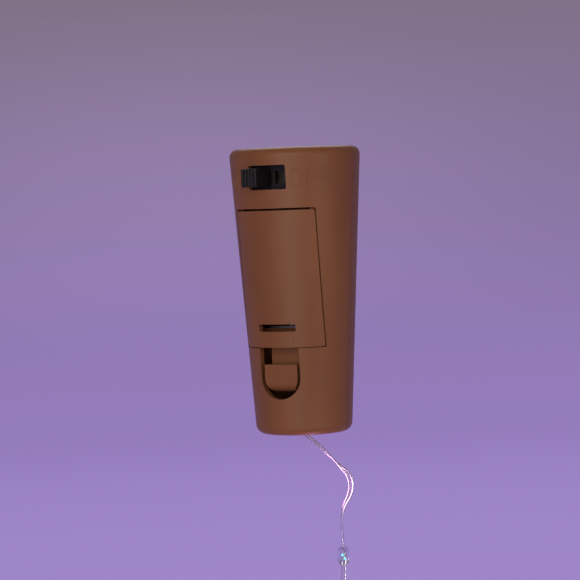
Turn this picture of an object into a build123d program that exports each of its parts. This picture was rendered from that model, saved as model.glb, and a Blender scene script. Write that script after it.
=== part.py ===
from build123d import *

import os
from math import asin, cos, degrees, pi, radians, sin, sqrt, tan

os.makedirs("parts", exist_ok=True)

# A battery light in the shape of a tapered cork, with a string of small lamps on a twin wire.
# The origin is on the axis, at the height where the plugged-in casing rests. +Z is up, the switch faces -Y.

# Driving sizes of the casing, in millimetres
casing_height = 47.7
top_diameter = 22.0
bottom_diameter = 16.0
seat_height = 21.0  # from the bottom end up to the plane of the origin
casing_wall = 1.2
top_edge_round = 1.4
bottom_edge_round = 1.5
seam_width = 0.14  # groove where the two halves of the casing meet
seam_depth = 0.18
cut_overrun = 2.0  # how far a cutting shape runs past what it cuts

# Battery door and its opening
door_middle_drop = 1.0  # middle of the battery bay down to the middle of the opening
door_length = 23.1
opening_half_width = 7.3
opening_ledge = 1.1  # width of the ledge at the sides and the lower end, that the door lies on
ledge_drop = 0.85  # depth of the ledge below the outer face
door_thickness = 0.7
door_top_gap = 0.35
door_side_gap = 0.15
door_corner_round = 0.25
door_liner_gap = 0.15
nail_slot_width = 6.8
nail_slot_height = 1.2
nail_slot_rise = 3.4  # lower end of the opening up to the middle of the slot

# Notch under the door and the spring latch in it
notch_half_width = 3.6
notch_length_share = 0.582  # of the height from the casing's end to the opening
latch_gap = 0.6
latch_leaf = 0.75
latch_recess = 0.9
latch_pad_share = 0.34  # of the notch, from the door's end down to the finger pad
latch_bend_share = 0.67  # of the notch, from the door's end down to the centre of the bend
latch_radius_share = 0.205  # of the notch, for the radius of the bend
latch_bay_gap = 0.3  # latch to the front edge of the bay's end walls
latch_web_rise = 0.8  # lower end of the door up to the underside of the web

# Slide switch
switch_drop = 4.9  # top end of the casing down to the middle of the switch
switch_slot_width = 6.8
switch_slot_height = 4.0
slot_corner_round = 0.3
knob_width = 2.8
knob_height = 3.0
knob_reach = 2.5  # how far the knob stands out of the casing
knob_end_gap = 0.2
knob_edge_round = 0.2
knob_groove_count = 4
knob_groove_width = 0.3
knob_groove_depth = 0.3
stem_width = 2.0
stem_height = 1.8
carriage_width = 3.8
carriage_thickness = 0.6
switch_clearance = 0.15
frame_width = 9.2
frame_height = 4.4
frame_depth = 3.0
frame_sheet = 0.3
base_thickness = 1.2
base_gap = 0.1
terminal_pitch = 2.5
terminal_head_width = 1.5
terminal_head_height = 1.1
terminal_head_thickness = 0.15
terminal_leg_width = 0.5
terminal_leg_thickness = 0.3
terminal_leg_stub = 0.6
terminal_count = 3
pin_hole_gap = 0.05
wiper_sheet = 0.15
wiper_width = 0.8
wiper_gap = 0.07

# Circuit board and its rails
board_half_width = 5.6
board_thickness = 0.8
board_bottom_gap = 0.2
board_top_gap = 0.3
frame_shell_gap = 0.12  # front corners of the switch's frame to the inside of the casing
rail_inner_half = 4.9
rail_outer_half = 8.2
rail_lip = 0.8
rail_gap = 0.05
resistor_length = 3.2
resistor_width = 1.6
resistor_thickness = 0.55
resistor_cap = 0.4
resistor_rise = 2.6  # lower edge of the board up to the middle of the resistor
resistor_shift = 0.9

# Button cells
cell_diameter = 11.6
cell_height = 5.4
cell_count = 3
cell_edge_round = 0.5
cell_cap_diameter = 9.4
cell_cap_height = 1.2
cell_gasket_ring = 0.5
cell_rim_set = 0.35
cell_gasket_set = 0.15
bay_top_drop = 11.1  # top end of the casing down to the bay's upper wall
bay_length = 18.9
bay_wall = 0.9
bay_shell_gap = 0.15
cradle_gap = 0.15
cradle_rib = 1.0
cradle_rib_count = 3

# Contacts
contact_sheet = 0.3
contact_width = 7.0
contact_length = 8.0
contact_dimple_radius = 1.6
contact_dimple_rise = 0.3
contact_tab_width = 1.6
contact_tab_shift = 2.5
contact_tab_stub = 1.2
contact_slot_gap = 0.1
spring_wire = 0.5
spring_base_radius = 3.6
spring_top_radius = 1.9
spring_half_turns = 5
spring_cell_gap = 0.05

# Leads, sleeves and seal
lead_diameter = 0.9
lead_bend_share = 0.085  # of the base's height, for the bends of the leads
supply_channel_x = 4.0
supply_wall_gap = 0.27  # supply lead to the inside of the casing at the lead's lowest bend
supply_channel_width = 1.6
lead_rise = 1.9  # lower edge of the board up to where the leads are soldered
lead_drop_share = 0.284  # of the base's height, bay down to the supply lead's lowest bend
return_drop_share = 0.45  # of the height between its ends, down to the return lead's bend
strand_spread = 1.0  # axis out to each strand of the light wire
strand_diameter = 0.4
sleeve_diameter = 1.5
sleeve_bore = 1.0
sleeve_length_share = 0.284  # of the base's height
sleeve_rise_share = 0.262  # of the base's height, glue plug up to the sleeves
strand_share = 0.4  # of a sleeve, that the strand runs up inside it
seal_hole_diameter = 1.8
seal_gap = 0.05
seal_flange_diameter = 5.0
seal_height = 1.5
seal_round = 0.6

# Locating pins
pin_diameter = 1.2
pin_length = 2.0
pin_gap = 0.05
boss_diameter = 2.6
boss_set = 1.8  # inside of the wall to the middle of a boss
upper_boss_drop = 5.9  # top end of the casing down to the upper bosses
lower_boss_rise = 4.4  # bottom end of the casing up to the lower bosses

# Light wire, its drops and the coil of its put-away length
cord_diameter = 1.0
hang_angle = 27.4  # direction of the plane that the wire hangs in, from +X
drop_count = 10
drop_pitch = 100.0
first_drop_place = 24.6  # along the wire from where it leaves the casing
drop_diameter = 2.0
drop_length = 3.0
drop_end_round = 0.4
drop_bore_gap = 0.06
chip_length = 1.0
chip_width = 0.5
chip_thickness = 0.22
chip_gap = 0.02
coil_pitch = 1.95
coil_inner_radius = 5.92
coil_half_turns = 7  # of each layer
coil_layers = 4
coil_lead_in = 2.0
coil_tail = 3.6
tie_width = 2.4
tie_thickness = 0.4
tie_gap = 0.3
tie_round = 1.2
tie_twist_length = 5.0
tie_twist_diameter = 1.1

# Heights and radii that follow from these sizes
bottom_z = -seat_height
top_z = bottom_z + casing_height
switch_z = top_z - switch_drop
bay_top_z = top_z - bay_top_drop
bay_bottom_z = bay_top_z - bay_length
opening_middle_z = (bay_top_z + bay_bottom_z) / 2 - door_middle_drop
opening_top_z = opening_middle_z + door_length / 2
opening_bottom_z = opening_middle_z - door_length / 2
board_bottom_z = bay_top_z + bay_wall + board_bottom_gap
board_top_z = top_z - casing_wall - board_top_gap
board_height = board_top_z - board_bottom_z
cell_radius = cell_diameter / 2
slope = (top_diameter - bottom_diameter) / 2 / casing_height
front_reach = top_diameter / 2 + cut_overrun
notch_length = notch_length_share * (opening_bottom_z - bottom_z)
notch_low = opening_bottom_z - notch_length + notch_half_width


def casing_radius(height):
    """Outer radius of the tapered casing at a height."""
    return bottom_diameter / 2 + slope * (height - bottom_z)


def inner_radius(height):
    """Radius of the casing's hollow at a height."""
    return casing_radius(height) - casing_wall


# Latch: its pad stands back from the casing's face, and the bay's end walls stop short of its leaf
door_bottom_z = opening_bottom_z + door_side_gap
latch_bend_radius = latch_radius_share * notch_length
latch_bend_z = door_bottom_z - latch_bend_share * notch_length
pad_top_z = door_bottom_z - latch_pad_share * notch_length
pad_face_y = latch_recess - casing_radius((pad_top_z + latch_bend_z) / 2)
leaf_face_y = pad_face_y + 2 * latch_bend_radius
bay_front_y = leaf_face_y + latch_bay_gap

# Base of the casing: the height between the glue plug and the underside of the bay
seal_low_z = bottom_z + casing_wall
seal_high_z = seal_low_z + seal_height
base_top_z = bay_bottom_z - bay_wall
base_height = base_top_z - seal_high_z
lead_bend = lead_bend_share * base_height
supply_low_z = base_top_z - lead_drop_share * base_height
supply_reach = inner_radius(supply_low_z) - supply_wall_gap - lead_diameter / 2
supply_channel_y = sqrt(supply_reach**2 - supply_channel_x**2)

# The switch's frame stands as far forward as the inside of the casing lets its corners
frame_reach = inner_radius(switch_z - frame_height / 2) - frame_shell_gap
frame_front_y = -sqrt(frame_reach**2 - (frame_width / 2) ** 2)
board_face_y = frame_front_y + frame_depth
board_back_y = board_face_y + board_thickness
rail_middle_y = (board_face_y + board_back_y) / 2


def save(piece, name):
    """Label a finished piece and write it as its own file."""
    piece.part.label = name
    export_step(piece.part, "parts/" + name + ".step")


def corner_at(outline, across, height):
    """Corner of an upright outline nearest to a place."""
    return outline.vertices().sort_by_distance((across, height, 0))[0]


def cone_core(depth):
    """Solid inside the taper, a given depth below its face and long enough to cut with."""
    low, high = bottom_z - cut_overrun, top_z + cut_overrun
    with BuildPart() as core:
        with BuildSketch(Plane.XZ):
            with BuildLine():
                Polyline(
                    (0, low),
                    (casing_radius(low) - depth, low),
                    (casing_radius(high) - depth, high),
                    (0, high),
                    close=True,
                )
            make_face()
        revolve(axis=Axis.Z)
    return core.part


def tube_along(points, diameter, bends):
    """Round tube along straight runs joined by arcs."""
    with BuildPart() as tube:
        with BuildLine() as path:
            FilletPolyline(*points, radius=bends)
        with BuildSketch(Plane(origin=path.line @ 0, z_dir=path.line % 0)):
            Circle(diameter / 2)
        sweep()
    return tube


# Casing: one tapered skin, parted on the plane of its axis into a front and a back half
def casing_blank(depth):
    """Solid taper a given depth below the casing's face, with both end edges rounded."""
    low, high = bottom_z + depth, top_z - depth
    with BuildPart() as blank:
        with BuildSketch(Plane.XZ) as outline:
            with BuildLine():
                Polyline(
                    (0, low),
                    (bottom_diameter / 2 - depth, low),
                    (top_diameter / 2 - depth, high),
                    (0, high),
                    close=True,
                )
            make_face()
            fillet(corner_at(outline, bottom_diameter / 2, low), bottom_edge_round - depth)
            fillet(corner_at(outline, top_diameter / 2, high), top_edge_round - depth)
        revolve(axis=Axis.Z)
    return blank.part


def seam_groove():
    """What is cut from the face of the taper all along the parting plane."""
    with BuildPart() as groove:
        with BuildSketch(Plane.XZ):
            with Locations((0, (top_z + bottom_z) / 2)):
                Rectangle(2 * front_reach, casing_height + 2 * cut_overrun)
        extrude(amount=seam_width / 2, both=True)
        add(casing_blank(seam_depth), mode=Mode.SUBTRACT)
    return groove.part


def casing_skin():
    """Hollow tapered skin, with half of the seam's groove on each side of the parting plane."""
    with BuildPart() as skin:
        add(casing_blank(0))
        add(seam_groove(), mode=Mode.SUBTRACT)
        with BuildSketch(Plane.XZ):
            with BuildLine():
                Polyline(
                    (0, bottom_z + casing_wall),
                    (inner_radius(bottom_z + casing_wall), bottom_z + casing_wall),
                    (inner_radius(top_z - casing_wall), top_z - casing_wall),
                    (0, top_z - casing_wall),
                    close=True,
                )
            make_face()
        revolve(axis=Axis.Z, mode=Mode.SUBTRACT)
    return skin.part


def boss_places():
    """Places of the four locating bosses on the parting plane."""
    heights = (top_z - upper_boss_drop, bottom_z + lower_boss_rise)
    return [
        (side * (inner_radius(height) - boss_set), height)
        for height in heights
        for side in (-1, 1)
    ]


def bosses(direction):
    """Bosses from the parting plane into the wall, on the front (1) or the back (-1)."""
    with BuildPart() as boss_set:
        with BuildSketch(Plane.XZ):
            with Locations(*boss_places()):
                Circle(boss_diameter / 2)
        extrude(amount=direction * front_reach)
        add(cone_core(casing_wall / 2), mode=Mode.INTERSECT)
    return boss_set.part


def board_rails():
    """Two uprights that run into the wall and hold the board's edges."""
    rail_height = top_z - casing_wall / 2 - board_bottom_z
    with BuildPart() as rails:
        with BuildSketch(Plane.XY.offset(board_bottom_z)):
            for side in (-1, 1):
                with Locations((side * (rail_inner_half + rail_outer_half) / 2, rail_middle_y)):
                    Rectangle(rail_outer_half - rail_inner_half, board_thickness + 2 * rail_lip)
        extrude(amount=rail_height)
        add(cone_core(casing_wall / 2), mode=Mode.INTERSECT)
    return rails.part


def round_ended(half_width, low, high):
    """Outline with a flat upper end and a half-round lower end below the height low."""
    Line((-half_width, high), (-half_width, low))
    ThreePointArc((-half_width, low), (0, low - half_width), (half_width, low))
    Line((half_width, low), (half_width, high))
    Line((half_width, high), (-half_width, high))


with BuildPart() as door_rebate:
    with BuildSketch(Plane.XZ):
        with Locations((0, (opening_top_z + opening_bottom_z) / 2)):
            RectangleRounded(2 * opening_half_width, door_length, door_corner_round)
    extrude(amount=front_reach)
    add(cone_core(ledge_drop), mode=Mode.SUBTRACT)

with BuildPart() as front_shell:
    add(casing_skin())
    split(bisect_by=Plane.XZ, keep=Keep.TOP)
    add(bosses(1))
    # Rails with a groove for the board's edges
    add(board_rails())
    with BuildSketch(Plane.XY.offset(board_bottom_z - cut_overrun)):
        with Locations((0, rail_middle_y)):
            Rectangle(2 * (board_half_width + rail_gap), board_thickness + 2 * rail_gap)
    extrude(amount=board_height + rail_gap + cut_overrun, mode=Mode.SUBTRACT)
    # Sockets for the locating pins
    with BuildSketch(Plane.XZ):
        with Locations(*boss_places()):
            Circle(pin_diameter / 2 + pin_gap)
    extrude(amount=pin_length + 2 * pin_gap, mode=Mode.SUBTRACT)
    # Slot for the switch knob
    with BuildSketch(Plane.XZ):
        with Locations((0, switch_z)):
            RectangleRounded(switch_slot_width, switch_slot_height, slot_corner_round)
    extrude(amount=front_reach, mode=Mode.SUBTRACT)
    # Rebate for the door, the hole inside its ledge, which has none at the top, and the latch's notch
    add(door_rebate.part, mode=Mode.SUBTRACT)
    with BuildSketch(Plane.XZ):
        with Locations((0, opening_top_z)):
            Rectangle(
                2 * (opening_half_width - opening_ledge),
                door_length - opening_ledge,
                align=(Align.CENTER, Align.MAX),
            )
        with BuildLine():
            round_ended(notch_half_width, notch_low, opening_bottom_z + 2 * opening_ledge)
        make_face()
    extrude(amount=front_reach, mode=Mode.SUBTRACT)
    # Half of the hole that the wire leaves by
    with BuildSketch(Plane.XY.offset(bottom_z - cut_overrun)):
        Circle(seal_hole_diameter / 2)
    extrude(amount=casing_wall + 2 * cut_overrun, mode=Mode.SUBTRACT)
save(front_shell, "front_shell")


def upright_holes():
    """Slot for a contact's tab and hole for the supply lead, in a wall of the bay."""
    with Locations((-contact_tab_shift, 0)):
        Rectangle(
            contact_sheet + 2 * contact_slot_gap,
            contact_tab_width + 2 * contact_slot_gap,
            mode=Mode.SUBTRACT,
        )
    with Locations((supply_channel_x, supply_channel_y)):
        Circle(supply_channel_width / 2, mode=Mode.SUBTRACT)


def half_round(radius):
    """Outline of a half disc on the back side of the parting plane."""
    Line((-radius, 0), (radius, 0))
    ThreePointArc((radius, 0), (0, radius), (-radius, 0))


with BuildPart() as back_shell:
    add(casing_skin())
    split(bisect_by=Plane.XZ, keep=Keep.BOTTOM)
    add(bosses(-1))
    with BuildSketch(Plane.XZ):
        with Locations(*boss_places()):
            Circle(pin_diameter / 2)
    extrude(amount=pin_length)
    # End walls of the battery bay: into the wall at the back, free of the front half
    for wall_z in (bay_top_z, bay_bottom_z - bay_wall):
        with BuildSketch(Plane.XY.offset(wall_z)):
            Circle(inner_radius(wall_z) - bay_shell_gap)
            with Locations((0, bay_front_y)):
                Rectangle(
                    2 * front_reach,
                    front_reach,
                    align=(Align.CENTER, Align.MAX),
                    mode=Mode.SUBTRACT,
                )
            with BuildLine():
                half_round(inner_radius(wall_z) + casing_wall / 2)
            make_face()
            upright_holes()
        extrude(amount=bay_wall)
    # Cradle ribs behind the cells, open where the supply lead passes
    for rib_index in range(cradle_rib_count):
        rib_step = bay_length / (cradle_rib_count + 1)
        rib_z = bay_bottom_z + rib_step * (rib_index + 1) - cradle_rib / 2
        with BuildSketch(Plane.XY.offset(rib_z)):
            with BuildLine():
                half_round(inner_radius(rib_z) + casing_wall / 2)
            make_face()
            Circle(cell_radius + cradle_gap, mode=Mode.SUBTRACT)
            with Locations((supply_channel_x, supply_channel_y)):
                Circle(supply_channel_width / 2, mode=Mode.SUBTRACT)
            with Locations((supply_channel_x, supply_channel_y - supply_channel_width)):
                Rectangle(
                    supply_channel_width, 2 * supply_channel_width, mode=Mode.SUBTRACT
                )
        extrude(amount=cradle_rib)
    # Half of the hole that the wire leaves by
    with BuildSketch(Plane.XY.offset(bottom_z - cut_overrun)):
        Circle(seal_hole_diameter / 2)
    extrude(amount=casing_wall + 2 * cut_overrun, mode=Mode.SUBTRACT)
save(back_shell, "back_shell")


# Battery door: a flush plate on the ledge, a liner inside the hole, and a U-shaped spring latch
door_top_z = opening_top_z - door_top_gap
door_half_width = opening_half_width - door_side_gap
liner_half_width = opening_half_width - opening_ledge - door_liner_gap
liner_top_z = door_top_z
liner_bottom_z = opening_bottom_z + opening_ledge + door_liner_gap
latch_root_y = -casing_radius(door_bottom_z) + door_thickness / 2
latch_web_z = door_bottom_z + latch_web_rise
bend_y = pad_face_y + latch_bend_radius


def curved_panel(half_width, low, high, outer_depth, inner_depth):
    """Panel between two depths below the casing's face, its outline square to the front."""
    with BuildPart() as panel:
        with BuildSketch(Plane.XZ):
            with Locations((0, (low + high) / 2)):
                RectangleRounded(2 * half_width, high - low, door_corner_round)
        extrude(amount=front_reach)
        add(cone_core(outer_depth), mode=Mode.INTERSECT)
        add(cone_core(inner_depth), mode=Mode.SUBTRACT)
    return panel.part


with BuildPart() as latch:
    # The web runs in from the door, the inner leaf runs down, the bend turns up to the pad
    with BuildSketch(Plane.YZ):
        with BuildLine():
            Polyline(
                (latch_root_y, latch_web_z),
                (latch_root_y, latch_web_z + latch_leaf),
                (leaf_face_y, latch_web_z + latch_leaf),
                (leaf_face_y, latch_bend_z),
            )
            ThreePointArc(
                (leaf_face_y, latch_bend_z),
                (bend_y, latch_bend_z - latch_bend_radius),
                (pad_face_y, latch_bend_z),
            )
            Polyline(
                (pad_face_y, latch_bend_z),
                (pad_face_y, pad_top_z),
                (pad_face_y + latch_leaf, pad_top_z),
                (pad_face_y + latch_leaf, latch_bend_z),
            )
            ThreePointArc(
                (pad_face_y + latch_leaf, latch_bend_z),
                (bend_y, latch_bend_z - latch_bend_radius + latch_leaf),
                (leaf_face_y - latch_leaf, latch_bend_z),
            )
            Polyline(
                (leaf_face_y - latch_leaf, latch_bend_z),
                (leaf_face_y - latch_leaf, latch_web_z),
                (latch_root_y, latch_web_z),
            )
        make_face()
    extrude(amount=notch_half_width - latch_gap, both=True)
    # Its lower end is round, like the notch
    with BuildSketch(Plane.XZ):
        with BuildLine():
            round_ended(notch_half_width - latch_gap, notch_low, opening_top_z)
        make_face()
    extrude(amount=front_reach, mode=Mode.INTERSECT)

with BuildPart() as battery_door:
    add(curved_panel(door_half_width, door_bottom_z, door_top_z, 0, door_thickness))
    add(
        curved_panel(
            liner_half_width, liner_bottom_z, liner_top_z, door_thickness / 2, casing_wall
        )
    )
    with BuildSketch(Plane.XZ):
        with Locations((0, opening_bottom_z + nail_slot_rise)):
            RectangleRounded(nail_slot_width, nail_slot_height, slot_corner_round)
    extrude(amount=front_reach, mode=Mode.SUBTRACT)
    add(latch.part)
save(battery_door, "battery_door")


# Slide switch: a plastic base with three pins, a folded steel frame, and the knob with its wiper
base_front_y = board_face_y - base_thickness
cavity_half_width = frame_width / 2 - frame_sheet
cavity_half_height = frame_height / 2 - frame_sheet
knob_rest_x = -(switch_slot_width / 2 - knob_end_gap - knob_width / 2)
knob_travel = -2 * knob_rest_x
carriage_front_y = frame_front_y + frame_sheet + switch_clearance
carriage_back_y = carriage_front_y + carriage_thickness
knob_face_y = -(casing_radius(switch_z) + knob_reach)
knob_back_y = frame_front_y - switch_clearance
head_front_y = base_front_y - terminal_head_thickness
terminal_places = [
    ((index - (terminal_count - 1) / 2) * terminal_pitch, switch_z)
    for index in range(terminal_count)
]
print("switch knob: rest at x", round(knob_rest_x, 3), "travel", round(knob_travel, 3))


def front_block(centre_x, width, height, near_y, far_y):
    """Block at the switch's height, between two distances in front of the axis."""
    with BuildPart() as block:
        with BuildSketch(Plane.XZ.offset(-near_y)):
            with Locations((centre_x, switch_z)):
                Rectangle(width, height)
        extrude(amount=near_y - far_y)
    return block.part


def pin_holes(near_y, depth):
    """What is cut away for the three pins' legs."""
    with BuildPart() as holes:
        with BuildSketch(Plane.XZ.offset(-near_y)):
            with Locations(*terminal_places):
                Rectangle(
                    terminal_leg_width + 2 * pin_hole_gap,
                    terminal_leg_thickness + 2 * pin_hole_gap,
                )
        extrude(amount=depth)
    return holes.part


with BuildPart() as switch_frame:
    cavity = (2 * cavity_half_width, 2 * cavity_half_height)
    window = (stem_width + knob_travel + 2 * switch_clearance, stem_height + 2 * switch_clearance)
    add(front_block(0, frame_width, frame_height, board_face_y, frame_front_y))
    add(
        front_block(0, *cavity, board_face_y, frame_front_y + frame_sheet), mode=Mode.SUBTRACT
    )
    add(
        front_block(0, *window, board_face_y, frame_front_y - cut_overrun), mode=Mode.SUBTRACT
    )
save(switch_frame, "switch_frame")

with BuildPart() as switch_base:
    add(
        front_block(
            0,
            2 * (cavity_half_width - base_gap),
            2 * (cavity_half_height - base_gap),
            board_face_y,
            base_front_y,
        )
    )
    add(pin_holes(board_face_y, base_thickness), mode=Mode.SUBTRACT)
save(switch_base, "switch_base")

with BuildPart() as switch_terminals:
    leg_end_y = board_back_y + terminal_leg_stub
    with BuildSketch(Plane.XZ.offset(-base_front_y)):
        with Locations(*terminal_places):
            Rectangle(terminal_head_width, terminal_head_height)
    extrude(amount=terminal_head_thickness)
    with BuildSketch(Plane.XZ.offset(-leg_end_y)):
        with Locations(*terminal_places):
            Rectangle(terminal_leg_width, terminal_leg_thickness)
    extrude(amount=leg_end_y - base_front_y)
save(switch_terminals, "switch_terminals")

with BuildPart() as switch_knob:
    carriage_height = stem_height + 2 * carriage_thickness
    add(
        front_block(
            knob_rest_x, carriage_width, carriage_height, carriage_back_y, carriage_front_y
        )
    )
    add(front_block(knob_rest_x, stem_width, stem_height, carriage_front_y, knob_back_y))
    with BuildSketch(Plane.XZ.offset(-knob_back_y)):
        with Locations((knob_rest_x, switch_z)):
            RectangleRounded(knob_width, knob_height, knob_edge_round)
    extrude(amount=knob_back_y - knob_face_y)
    # Upright grip grooves across the face
    groove_pitch = knob_width / (knob_groove_count + 1)
    groove_places = [
        (knob_rest_x + (index - (knob_groove_count - 1) / 2) * groove_pitch, switch_z)
        for index in range(knob_groove_count)
    ]
    with BuildSketch(Plane.XZ.offset(-(knob_face_y + knob_groove_depth))):
        with Locations(*groove_places):
            Rectangle(knob_groove_width, 2 * knob_height)
    extrude(amount=knob_groove_depth + cut_overrun, mode=Mode.SUBTRACT)
save(switch_knob, "switch_knob")

with BuildPart() as switch_wiper:
    # Flat against the carriage, with two arms that reach for the pins' heads
    with BuildSketch(Plane.XY.offset(switch_z - wiper_width / 2)):
        arm_y = head_front_y - wiper_gap
        flat = carriage_width / 4
        span = terminal_pitch / 2
        half_outline = [
            (flat, carriage_back_y),
            (span, arm_y - wiper_sheet),
            (span + wiper_sheet, arm_y - wiper_sheet),
            (span + wiper_sheet, arm_y),
            (span - wiper_sheet, arm_y),
            (flat - wiper_sheet, carriage_back_y + wiper_sheet),
        ]
        mirrored = [(-across, depth) for across, depth in reversed(half_outline)]
        with BuildLine():
            Polyline(
                *[(knob_rest_x + across, depth) for across, depth in half_outline + mirrored],
                close=True,
            )
        make_face()
    extrude(amount=wiper_width)
save(switch_wiper, "switch_wiper")


# Circuit board behind the switch, with one resistor on its back
resistor_z = board_bottom_z + resistor_rise
with BuildPart() as circuit_board:
    with BuildSketch(Plane.XZ.offset(-board_back_y)):
        with Locations((0, (board_bottom_z + board_top_z) / 2)):
            Rectangle(2 * board_half_width, board_height)
    extrude(amount=board_thickness)
    add(pin_holes(board_back_y, board_thickness), mode=Mode.SUBTRACT)
save(circuit_board, "circuit_board")

with BuildPart() as resistor:
    with BuildSketch(Plane.XZ.offset(-(board_back_y + resistor_thickness))):
        with Locations((resistor_shift, resistor_z)):
            Rectangle(resistor_length - 2 * resistor_cap, resistor_width)
    extrude(amount=resistor_thickness)
save(resistor, "resistor")

with BuildPart() as resistor_caps:
    cap_set = (resistor_length - resistor_cap) / 2
    with BuildSketch(Plane.XZ.offset(-(board_back_y + resistor_thickness))):
        with Locations(
            (resistor_shift - cap_set, resistor_z), (resistor_shift + cap_set, resistor_z)
        ):
            Rectangle(resistor_cap, resistor_width)
    extrude(amount=resistor_thickness)
save(resistor_caps, "resistor_caps")


# Button cells, flat side up, each with its can, gasket and cap
cell_stack_top_z = bay_top_z - contact_sheet - contact_dimple_rise
cell_stack_bottom_z = cell_stack_top_z - cell_count * cell_height
cap_radius = cell_cap_diameter / 2
gasket_radius = cap_radius + cell_gasket_ring


def turned(points, rounds=()):
    """Solid turned about the axis from an outline, with some corners rounded."""
    with BuildPart() as piece:
        with BuildSketch(Plane.XZ) as outline:
            with BuildLine():
                Polyline(*points, close=True)
            make_face()
            for (across, height), size in rounds:
                fillet(corner_at(outline, across, height), size)
        revolve(axis=Axis.Z)
    return piece


for cell_index in range(cell_count):
    low = cell_stack_bottom_z + cell_index * cell_height
    high = low + cell_height
    rim = low + cell_rim_set
    cap_top = low + cell_cap_height
    gasket_low = low + cell_gasket_set
    can = turned(
        [
            (0, cap_top),
            (gasket_radius, cap_top),
            (gasket_radius, rim),
            (cell_radius, rim),
            (cell_radius, high),
            (0, high),
        ],
        [((cell_radius, rim), cell_edge_round), ((cell_radius, high), cell_edge_round)],
    )
    gasket = turned(
        [
            (cap_radius, gasket_low),
            (gasket_radius, gasket_low),
            (gasket_radius, cap_top),
            (cap_radius, cap_top),
        ]
    )
    cap = turned(
        [(0, low), (cap_radius, low), (cap_radius, cap_top), (0, cap_top)],
        [((cap_radius, low), cell_gasket_set / 2)],
    )
    save(can, f"cell_{cell_index + 1}_can")
    save(gasket, f"cell_{cell_index + 1}_gasket")
    save(cap, f"cell_{cell_index + 1}_cap")


# Contacts: a dimpled plate above the cells, a plate with a conical spring below them
positive_tab_z = bay_top_z + bay_wall + contact_tab_stub
negative_tab_z = bay_bottom_z - bay_wall - contact_tab_stub
plate_low_z = bay_top_z - contact_sheet


def contact_plate(plate_z, tab_from, tab_to):
    """Plate across the bay, with a tab that goes through the wall behind it."""
    with BuildPart() as plate:
        with BuildSketch(Plane.XY.offset(plate_z)):
            Rectangle(contact_length, contact_width)
        extrude(amount=contact_sheet)
        with BuildSketch(Plane.XY.offset(tab_from)):
            with Locations((-contact_tab_shift, 0)):
                Rectangle(contact_sheet, contact_tab_width)
        extrude(amount=tab_to - tab_from)
    return plate.part


with BuildPart() as positive_contact:
    add(contact_plate(plate_low_z, plate_low_z, positive_tab_z))
    # Dimple that presses on the upper cell
    ball = (contact_dimple_radius**2 + contact_dimple_rise**2) / (2 * contact_dimple_rise)
    half_angle = asin(contact_dimple_radius / ball) / 2
    dimple_low_z = plate_low_z - contact_dimple_rise
    with BuildSketch(Plane.XZ):
        with BuildLine():
            Polyline((0, dimple_low_z), (0, plate_low_z), (contact_dimple_radius, plate_low_z))
            ThreePointArc(
                (contact_dimple_radius, plate_low_z),
                (ball * sin(half_angle), dimple_low_z + ball * (1 - cos(half_angle))),
                (0, dimple_low_z),
            )
        make_face()
    revolve(axis=Axis.Z)
save(positive_contact, "positive_contact")

with BuildPart() as negative_contact:
    add(contact_plate(bay_bottom_z, negative_tab_z, bay_bottom_z + contact_sheet))
save(negative_contact, "negative_contact")


def half_turn_path(points, way):
    """Chain of half turns through points on alternate sides, which leave each point along one way."""
    for index in range(len(points) - 1):
        start, finish = points[index], points[index + 1]
        bulge = way * ((finish - start).length / 2 * (1 if index % 2 == 0 else -1))
        ThreePointArc(start, (start + finish) / 2 + bulge, finish)


spring_low_z = bay_bottom_z + contact_sheet + spring_wire / 2
spring_high_z = cell_stack_bottom_z - spring_cell_gap - spring_wire / 2
spring_points = []
for turn_index in range(spring_half_turns + 1):
    turn_share = turn_index / spring_half_turns
    spring_radius = spring_base_radius + (spring_top_radius - spring_base_radius) * turn_share
    spring_z = spring_low_z + (spring_high_z - spring_low_z) * turn_share
    spring_side = -1 if turn_index % 2 == 0 else 1
    spring_points.append(Vector(0, spring_side * spring_radius, spring_z))
with BuildPart() as negative_spring:
    with BuildLine() as spring_path:
        half_turn_path(spring_points, Vector(1, 0, 0))
    with BuildSketch(Plane(origin=spring_path.line @ 0, z_dir=spring_path.line % 0)):
        Circle(spring_wire / 2)
    sweep()
save(negative_spring, "negative_spring")


# Leads: contact to board, board down to the light wire, lower contact to the light wire
lead_z = board_bottom_z + lead_rise
sleeve_length = sleeve_length_share * base_height
sleeve_low_z = seal_high_z + sleeve_rise_share * base_height
sleeve_high_z = sleeve_low_z + sleeve_length
strand_top_z = sleeve_low_z + strand_share * sleeve_length
lead_end_z = strand_top_z + pin_gap
lead_join_z = sleeve_high_z + lead_bend
return_bend_z = negative_tab_z - return_drop_share * (negative_tab_z - lead_join_z)
lead_positive = tube_along(
    [
        (-contact_tab_shift, 0, positive_tab_z),
        (-contact_tab_shift, 0, lead_z),
        (-contact_tab_shift, board_back_y, lead_z),
    ],
    lead_diameter,
    lead_z - positive_tab_z - lead_diameter / 4,
)
save(lead_positive, "lead_positive")

lead_supply = tube_along(
    [
        (supply_channel_x, board_back_y, lead_z),
        (supply_channel_x, supply_channel_y, lead_z),
        (supply_channel_x, supply_channel_y, supply_low_z),
        (strand_spread, 0, lead_join_z),
        (strand_spread, 0, lead_end_z),
    ],
    lead_diameter,
    lead_bend,
)
save(lead_supply, "lead_supply")

lead_return = tube_along(
    [
        (-contact_tab_shift, 0, negative_tab_z),
        (-contact_tab_shift, 0, return_bend_z),
        (-strand_spread, 0, lead_join_z),
        (-strand_spread, 0, lead_end_z),
    ],
    lead_diameter,
    lead_bend,
)
save(lead_return, "lead_return")

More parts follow.
